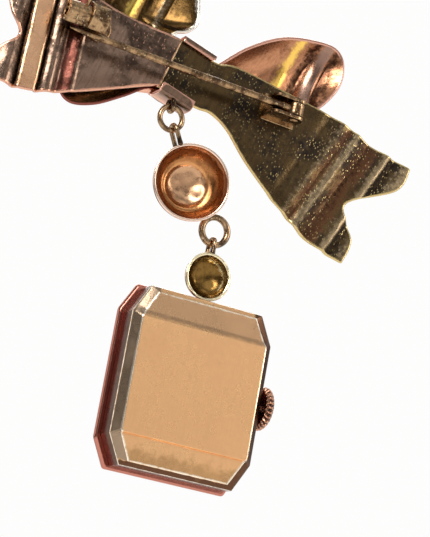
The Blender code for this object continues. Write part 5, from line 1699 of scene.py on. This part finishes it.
@dataclass
class Dial:
    """The dial with its markers and numerals, and the two hands. The 12 is at the bottom as it hangs."""

    place: Place
    face: DialFace
    gilt: Metal
    blued: Metal
    size: Pair = (6.95, 8.45)
    shown: Pair = (6.1, 7.5)
    y: Pair = (-3.75, -3.55)
    times: Pair = (304.0, 48.0)

    def build(self) -> None:
        """Builds the plate, the markers, the numerals and the hands."""
        gilt, blued = self.gilt.material(), self.blued.material()
        plate = Skin().loft(self.plate_profile(), 0.2).move(self.place).build("dial", 35.0)
        dress(plate, "watch", self.face.material(), "dial_metal", "dial")
        dress(self.markers().move(self.place).build("dial_markers"), "watch", gilt, "dial_metal")
        for hour in (12, 3, 6, 9):
            dress(self.numeral(hour), "watch", gilt, "dial_metal")
        hour, minute = self.times
        dress(self.hand(3.3, 0.5, 0.62, -3.98, hour).move(self.place).build("hour_hand"), "hour", blued, "hand_metal",
              "hour_hand")
        dress(self.hand(5.0, 0.4, 0.5, -4.22, minute).move(self.place).build("minute_hand"), "cannon", blued,
              "hand_metal", "minute_hand")

    def plate_profile(self) -> Grid:
        """The dial plate's section, closed on itself, with a round-cornered hole where the hands' pipes pass."""
        (w, h), (front, back) = self.size, self.y
        rows = [(0.62, 0.8, front), (w, h, front), (w, h, back), (0.62, 0.8, back)]
        return filleted(rows, 0.05, 3, closed=True)

    def direction(self, clock_angle: Grid) -> Grid:
        """The (x, z) direction of a clock angle in degrees, clockwise from the 12 as seen from the front."""
        angle = np.radians(clock_angle)
        return np.stack([-np.sin(angle), -np.cos(angle)], axis=-1)

    def reach(self, clock_angle: Grid) -> Grid:
        """How far the shown part of the dial goes in a direction, to its sides or its clipped corners."""
        x, z = np.abs(self.direction(clock_angle)).T
        w, h = self.shown
        cut_x, cut_z = CORNER
        sides = np.minimum(w / np.maximum(x, 1e-6), h / np.maximum(z, 1e-6))
        return np.minimum(sides, (cut_z * w + cut_x * (h - cut_z)) / (cut_z * x + cut_x * z))

    def markers(self) -> Skin:
        """A bar for each minute and a longer, faceted one for each hour, set square to the dial's middle.

        Each bar is a small roof: four corners on the dial, and a ridge above its middle line.
        """
        minutes = np.arange(60)
        hours = minutes % 5 == 0
        quarters = minutes % 15 == 0
        clock = minutes * 6.0
        way, far = self.direction(clock), self.reach(clock)
        side = np.stack([-way[:, 1], way[:, 0]], axis=-1)
        half_width = np.where(hours, 0.2, 0.06)
        outer = far - 0.12
        inner = outer - np.where(hours & ~quarters, 1.35, 0.4)
        rise = np.where(hours, 0.16, 0.05)
        corners = [(inner, -1, 0.0), (inner, 1, 0.0), (outer, 1, 0.0), (outer, -1, 0.0)]
        ridge = [(inner + half_width, 0, 1.0), (outer - half_width, 0, 1.0)]
        points = []
        for distance, aside, up in corners + ridge:
            flat = way * distance[:, None] + side * (aside * half_width)[:, None]
            points.append(np.stack([flat[:, 0], self.y[0] + 0.01 - up * rise, flat[:, 1]], axis=-1))
        a, b, c, d, e, f = points
        skin = Skin()
        for quad in ((a, b, c, d), (b, c, f, e), (d, a, e, f), (a, b, e, e), (c, d, f, f)):
            skin.add_quads(np.stack(quad, axis=1))
        return skin

    def numeral(self, hour: int) -> bpy.types.Object:
        """One raised numeral, upright for the wearer, made from plain type and placed in its mesh."""
        text = bpy.data.curves.new(f"numeral_{hour}", "FONT")
        text.body, text.align_x, text.align_y = str(hour), "CENTER", "CENTER"
        text.size, text.extrude, text.offset = 2.3, 0.05, 0.035
        text.bevel_depth, text.bevel_resolution = 0.02, 1
        holder = bpy.data.objects.new("numeral_source", text)
        bpy.context.scene.collection.objects.link(holder)
        mesh = bpy.data.meshes.new_from_object(holder.evaluated_get(bpy.context.evaluated_depsgraph_get()))
        bpy.data.objects.remove(holder)
        flat = np.empty(len(mesh.vertices) * 3, np.float32)
        mesh.vertices.foreach_get("co", flat)
        flat = flat.reshape(-1, 3).astype(float)
        clock = np.array([hour % 12 * 30.0])
        x, z = (self.direction(clock) * (self.reach(clock) - 1.55)[:, None])[0]
        middle = (flat.min(axis=0) + flat.max(axis=0)) / 2
        local = flat - middle
        placed = np.stack([x - local[:, 0], self.y[0] - 0.05 - local[:, 2], z - local[:, 1]], axis=-1)
        mesh.vertices.foreach_set("co", (self.place.out(placed) * MM).astype(np.float32).ravel())
        mesh.update()
        merge_and_face_out(mesh)
        usual_marks(mesh)
        made = bpy.data.objects.new(f"dial_numeral_{hour}", mesh)
        bpy.context.scene.collection.objects.link(made)
        return made

    def hand(self, length: float, width: float, boss: float, y: float, clock_angle: float) -> Skin:
        """A hand: a ridged tapering blade whose section is a flat roof, and a round boss.

        The blade's half width grows from the boss to 0.3 of its length and falls to its point, and its ridge
        stands 0.05 above its edges.
        """
        t = np.linspace(0.0, 1.0, 40)
        half = np.interp(t, [0.0, 0.12, 0.32, 0.96, 1.0], [0.16, 0.13, width / 2, 0.05, 0.02])
        way = self.direction(np.array(clock_angle))
        side = np.array([-way[1], way[0]])
        section = np.array([(-1.0, 0.0), (0.0, -0.05), (1.0, 0.0), (1.0, 0.05), (-1.0, 0.05)])
        along_it = way * (t * length)[:, None]
        flat = along_it[:, None] + section[None, :, :1] * half[:, None, None] * side
        height = np.broadcast_to(y + section[None, :, 1], flat.shape[:2])
        blade = np.stack([flat[..., 0], height, flat[..., 1]], axis=-1)
        ends = [np.broadcast_to(blade[k].mean(axis=0), (1, 5, 3)) for k in (0, -1)]
        skin = Skin().add(np.concatenate([ends[0], blade, ends[1]]), close_columns=True)
        profile = filleted([(0.0, -0.055), (boss, -0.055), (boss, 0.055), (0.0, 0.055)], 0.04)
        return skin.lathe(profile, (0, 1, 0), (1, 0, 0), (0.0, y, 0.0), 40)


@dataclass
class Movement:
    """The works inside the case, whose solids stay as they are and get their metals."""

    lean: float
    brass: Sequence[str] = ("barrel_drum", "centre_wheel", "third_wheel", "fourth_wheel", "minute_wheel", "hour_wheel")
    steel: Sequence[str] = ("winding_stem", "clutch_wheel", "winding_pinion", "crown_wheel", "ratchet_wheel",
                            "crown_wheel_screw", "barrel_arbor", "click", "centre_pinion", "third_pinion",
                            "fourth_pinion", "escape_wheel", "escape_pinion", "pallet_fork", "balance_staff",
                            "cannon_pinion", "minute_pinion")
    springs: Sequence[str] = ("mainspring", "hairspring")

    def dress(self) -> None:
        """Gives every node of the works its material."""
        bare = {"marked": False, "lean": self.lean}
        brass = Metal("brass_wheel", (0.80, 0.60, 0.27), (0.60, 0.42, 0.17), (0.9, 0.7, 0.35),
                      streaks=(9000, 9000), **bare)
        gilt = Metal("gilt_plate", (0.78, 0.60, 0.30), (0.58, 0.42, 0.20), (0.9, 0.7, 0.4),
                     streak_depth=0.1, **bare)
        steel = Metal("bright_steel", (0.62, 0.62, 0.63), (0.42, 0.42, 0.44), (0.8, 0.8, 0.8),
                      roughness=(0.12, 0.3), **bare)
        spring = Metal("blued_spring", (0.10, 0.13, 0.32), (0.20, 0.16, 0.30), (0.4, 0.4, 0.6),
                       roughness=(0.2, 0.3), **bare)
        balance = Metal("balance_gold", (0.85, 0.66, 0.34), (0.65, 0.46, 0.2), (0.95, 0.8, 0.5),
                        roughness=(0.15, 0.3), **bare)
        bridge = Striped("nickel_bridge", (0.72, 0.70, 0.66), (0.46, 0.44, 0.41), self.lean + 35.0)
        for finish, nodes in (
            (brass, self.brass),
            (gilt, ("mainplate",)),
            (steel, self.steel),
            (spring, self.springs),
            (balance, ("balance_wheel",)),
            (bridge, ("barrel_bridge", "train_bridge", "balance_cock")),
        ):
            material = finish.material()
            for node in nodes:
                for slot in bpy.data.objects[node].material_slots:
                    slot.material = material
                LOG.info("%s has the finish %s", node, finish.name)


# ---------------------------------------------------------------- studio


class LightPlan(Enum):
    """The studio's soft lights: place in millimetres, size in millimetres, power in watts, and colour."""

    KEY = ((160.0, 260.0, 190.0), 150.0, 0.85, (1.0, 0.96, 0.90))
    FILL = ((-260.0, 160.0, 20.0), 130.0, 0.22, (1.0, 0.93, 0.85))
    LOW = ((60.0, 240.0, -190.0), 110.0, 0.22, (1.0, 0.90, 0.78))
    FRONT = ((-120.0, -260.0, 160.0), 190.0, 0.5, (1.0, 0.98, 0.96))
    SIDE = ((260.0, -120.0, 60.0), 150.0, 0.1, (1.0, 0.90, 0.85))


@dataclass
class Studio:
    """A pale floor, soft lights, a pale room and the camera."""

    target: Point = (-3.97, -1.3, -20.69)
    azimuth: float = 154.0
    elevation: float = -8.0
    distance: float = 210.0
    lens: float = 133.7
    floor_z: float = -95.0

    def build(self) -> None:
        """Builds the floor, the room, the lights and the camera."""
        bpy.context.scene.view_settings.view_transform = "Standard"
        self.floor()
        self.room()
        for plan in LightPlan:
            self.light(plan)
        self.camera()

    def floor(self) -> None:
        """A wide flat disc well below the watch."""
        radii = np.array([0.0, 150.0, 450.0, 900.0])
        turn = np.linspace(0.0, math.tau, 64, endpoint=False)
        grid = np.stack([np.outer(radii, np.cos(turn)), np.outer(radii, np.sin(turn)),
                         np.full((4, 64), self.floor_z)], axis=-1)
        piece = Skin().add(grid, close_columns=True).build("studio_floor")
        made, graph, shader = start_material("pale_floor", 0.0)
        broad = {"Vector": graph.place(), "Scale": 12.0, "Low": 0.2, "High": 0.9}
        clouds = graph.group(EFFECTS.clouds, broad).outputs[0]
        tone = graph.mix(clouds, (0.86, 0.85, 0.84), (0.89, 0.88, 0.87))
        graph.feed(shader, {"Base Color": tone, "Roughness": 0.9})
        piece.data.materials.append(made)

    def room(self) -> None:
        """A near-white backdrop, and a softer room that only the metal sees: bright above, dim below."""
        world = bpy.data.worlds.new("studio_room")
        bpy.context.scene.world = world
        world.use_nodes = True
        graph = Graph(world.node_tree)
        shown = world.node_tree.nodes["Background"]
        direction = graph.node("TexCoord").outputs["Generated"]
        parts = graph.node("SeparateXYZ", {0: direction})
        upward = graph.ramp(parts.outputs["Z"], -0.6, 0.9, (0.12, 1.05))
        bands = graph.node("TexNoise", {"Vector": direction, "Scale": 2.6, "Detail": 1.5}).outputs["Fac"]
        strength = graph.maths("MULTIPLY", upward, graph.ramp(bands, 0.4, 0.6, (0.22, 1.45)))
        sideways = graph.ramp(parts.outputs["X"], 0.1, 0.9, (1.0, 0.35))
        warm = graph.mix(graph.ramp(parts.outputs["Z"], -0.5, 0.4), (1.0, 0.72, 0.60), (1.0, 0.985, 0.96))
        seen = graph.node("Background", {"Color": warm, "Strength": graph.maths("MULTIPLY", strength, sideways)})
        shown.inputs["Color"].default_value = (0.985, 0.983, 0.98, 1.0)
        shown.inputs["Strength"].default_value = 1.0
        camera_ray = graph.node("LightPath").outputs["Is Camera Ray"]
        both = graph.node("MixShader", {0: camera_ray, 1: seen.outputs[0], 2: shown.outputs[0]})
        world.node_tree.links.new(both.outputs[0], world.node_tree.nodes["World Output"].inputs["Surface"])

    def light(self, plan: LightPlan) -> None:
        """One soft square light that points at the middle of the object."""
        at, size, watts, colour = plan.value
        lamp = bpy.data.lights.new("light_" + plan.name.lower(), "AREA")
        lamp.size, lamp.energy, lamp.color = size * MM, watts, colour
        made = bpy.data.objects.new(lamp.name, lamp)
        bpy.context.scene.collection.objects.link(made)
        made.location = Vector(at) * MM
        aim = Vector(self.target) * MM - made.location
        made.rotation_euler = aim.to_track_quat("-Z", "Y").to_euler()

    def camera(self) -> None:
        """The camera, behind the watch and a little below it."""
        az, el = math.radians(self.azimuth), math.radians(self.elevation)
        away = Vector((math.sin(az) * math.cos(el), -math.cos(az) * math.cos(el), math.sin(el)))
        lens = bpy.data.cameras.new("camera")
        lens.lens, lens.sensor_width, lens.clip_start = self.lens, 36.0, 0.01
        made = bpy.data.objects.new("camera", lens)
        bpy.context.scene.collection.objects.link(made)
        made.location = (Vector(self.target) + away * self.distance) * MM
        made.rotation_euler = (-away).to_track_quat("-Z", "Y").to_euler()
        bpy.context.scene.camera = made


# ---------------------------------------------------------------- the whole


def main() -> None:
    """Builds the studio and every sub-assembly."""
    logging.basicConfig(level=logging.INFO, format="%(message)s")
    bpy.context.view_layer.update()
    Studio().build()
    watch = Place.from_joints("centre_turn", "crown_turn")
    Bow().build()
    Brooch(Metal("pin_gold", (0.46, 0.30, 0.16), (0.08, 0.045, 0.025), (0.95, 0.76, 0.50), -13.3, (0.08, 0.26),
                 (700.0, 0.42, 0.6), specks=0.4, wear=0.12, bump=0.02)).build()
    wire = Metal("ring_gold", (0.46, 0.31, 0.18), (0.12, 0.075, 0.04), (0.90, 0.74, 0.54), roughness=(0.14, 0.3),
                 clouds=(520.0, 0.4, 0.62), specks=0.3, tints=(("patina", (0.045, 0.028, 0.018)),))
    # The rose dome's tints are painted light: a highlight on the pressed ridge and a paler painted reflection in the
    # middle of the hollow.
    rose = Metal("dome_copper", (0.42, 0.18, 0.065), (0.22, 0.09, 0.035), (0.88, 0.68, 0.56), roughness=(0.2, 0.38),
                 clouds=(420.0, 0.4, 0.66), tints=(("crest", (0.62, 0.30, 0.12)), ("blush", (0.56, 0.34, 0.20))),
                 front=(0.80, 0.46, 0.34), wear=0.22)
    gold = Metal("dome_amber", (0.20, 0.115, 0.032), (0.06, 0.03, 0.01), (0.86, 0.76, 0.52), roughness=(0.2, 0.38),
                 front=(0.82, 0.55, 0.30), wear=0.4)
    Chain(wire, rose, gold, watch).build()
    # Painted light on the case back: a pinker painted reflection on the top strip, deeper gold on the bottom one, and
    # near-black painted shade on its sides, its -X bevel and its bottom edge. The patina tint greys its +X bevel.
    satin = Metal("case_satin", (0.92, 0.56, 0.28), (0.80, 0.47, 0.24), (0.95, 0.84, 0.68), watch.lean, (0.26, 0.38),
                  clouds=(140.0, 0.4, 0.7), streaks=(6500.0, 260.0), streak_depth=1.6, scuffs=0.0, wear=0.12, bump=0.006,
                  tints=(("blush", (0.56, 0.35, 0.20)), ("crest", (0.56, 0.33, 0.15)), ("patina", (0.30, 0.23, 0.17)),
                         ("trough", (0.055, 0.018, 0.013))))
    # The polished case's dark red colour is a painted reflection of dark red surroundings, and its pink tint on the
    # bezel's front is a painted highlight.
    polish = Metal("case_polish", (0.20, 0.05, 0.036), (0.13, 0.03, 0.02), (0.50, 0.20, 0.15), watch.lean, (0.16, 0.28),
                   streak_depth=0.05, wear=0.05, tints=(("crest", (0.74, 0.38, 0.28)),))
    # The crown's dark tint is painted shade in its knurl slots.
    crown = Metal("crown_rose", (0.55, 0.30, 0.20), (0.30, 0.14, 0.09), (0.88, 0.62, 0.46), watch.lean, (0.16, 0.3),
                  tints=(("trough", (0.05, 0.03, 0.025)),))
    Case(watch, satin, polish, crown).build()
    face = DialFace("dial_silver", (0.72, 0.68, 0.60), (0.54, 0.44, 0.31), watch.origin, watch.lean)
    gilt = Metal("marker_gilt", (0.62, 0.40, 0.22), (0.45, 0.27, 0.14), (0.8, 0.6, 0.4), roughness=(0.15, 0.25))
    blued = Metal("blued_steel", (0.05, 0.06, 0.16), (0.03, 0.03, 0.06), (0.2, 0.25, 0.5), roughness=(0.14, 0.24))
    Dial(watch, face, gilt, blued).build()
    Movement(watch.lean).dress()


if __name__ == "__main__":
    main()
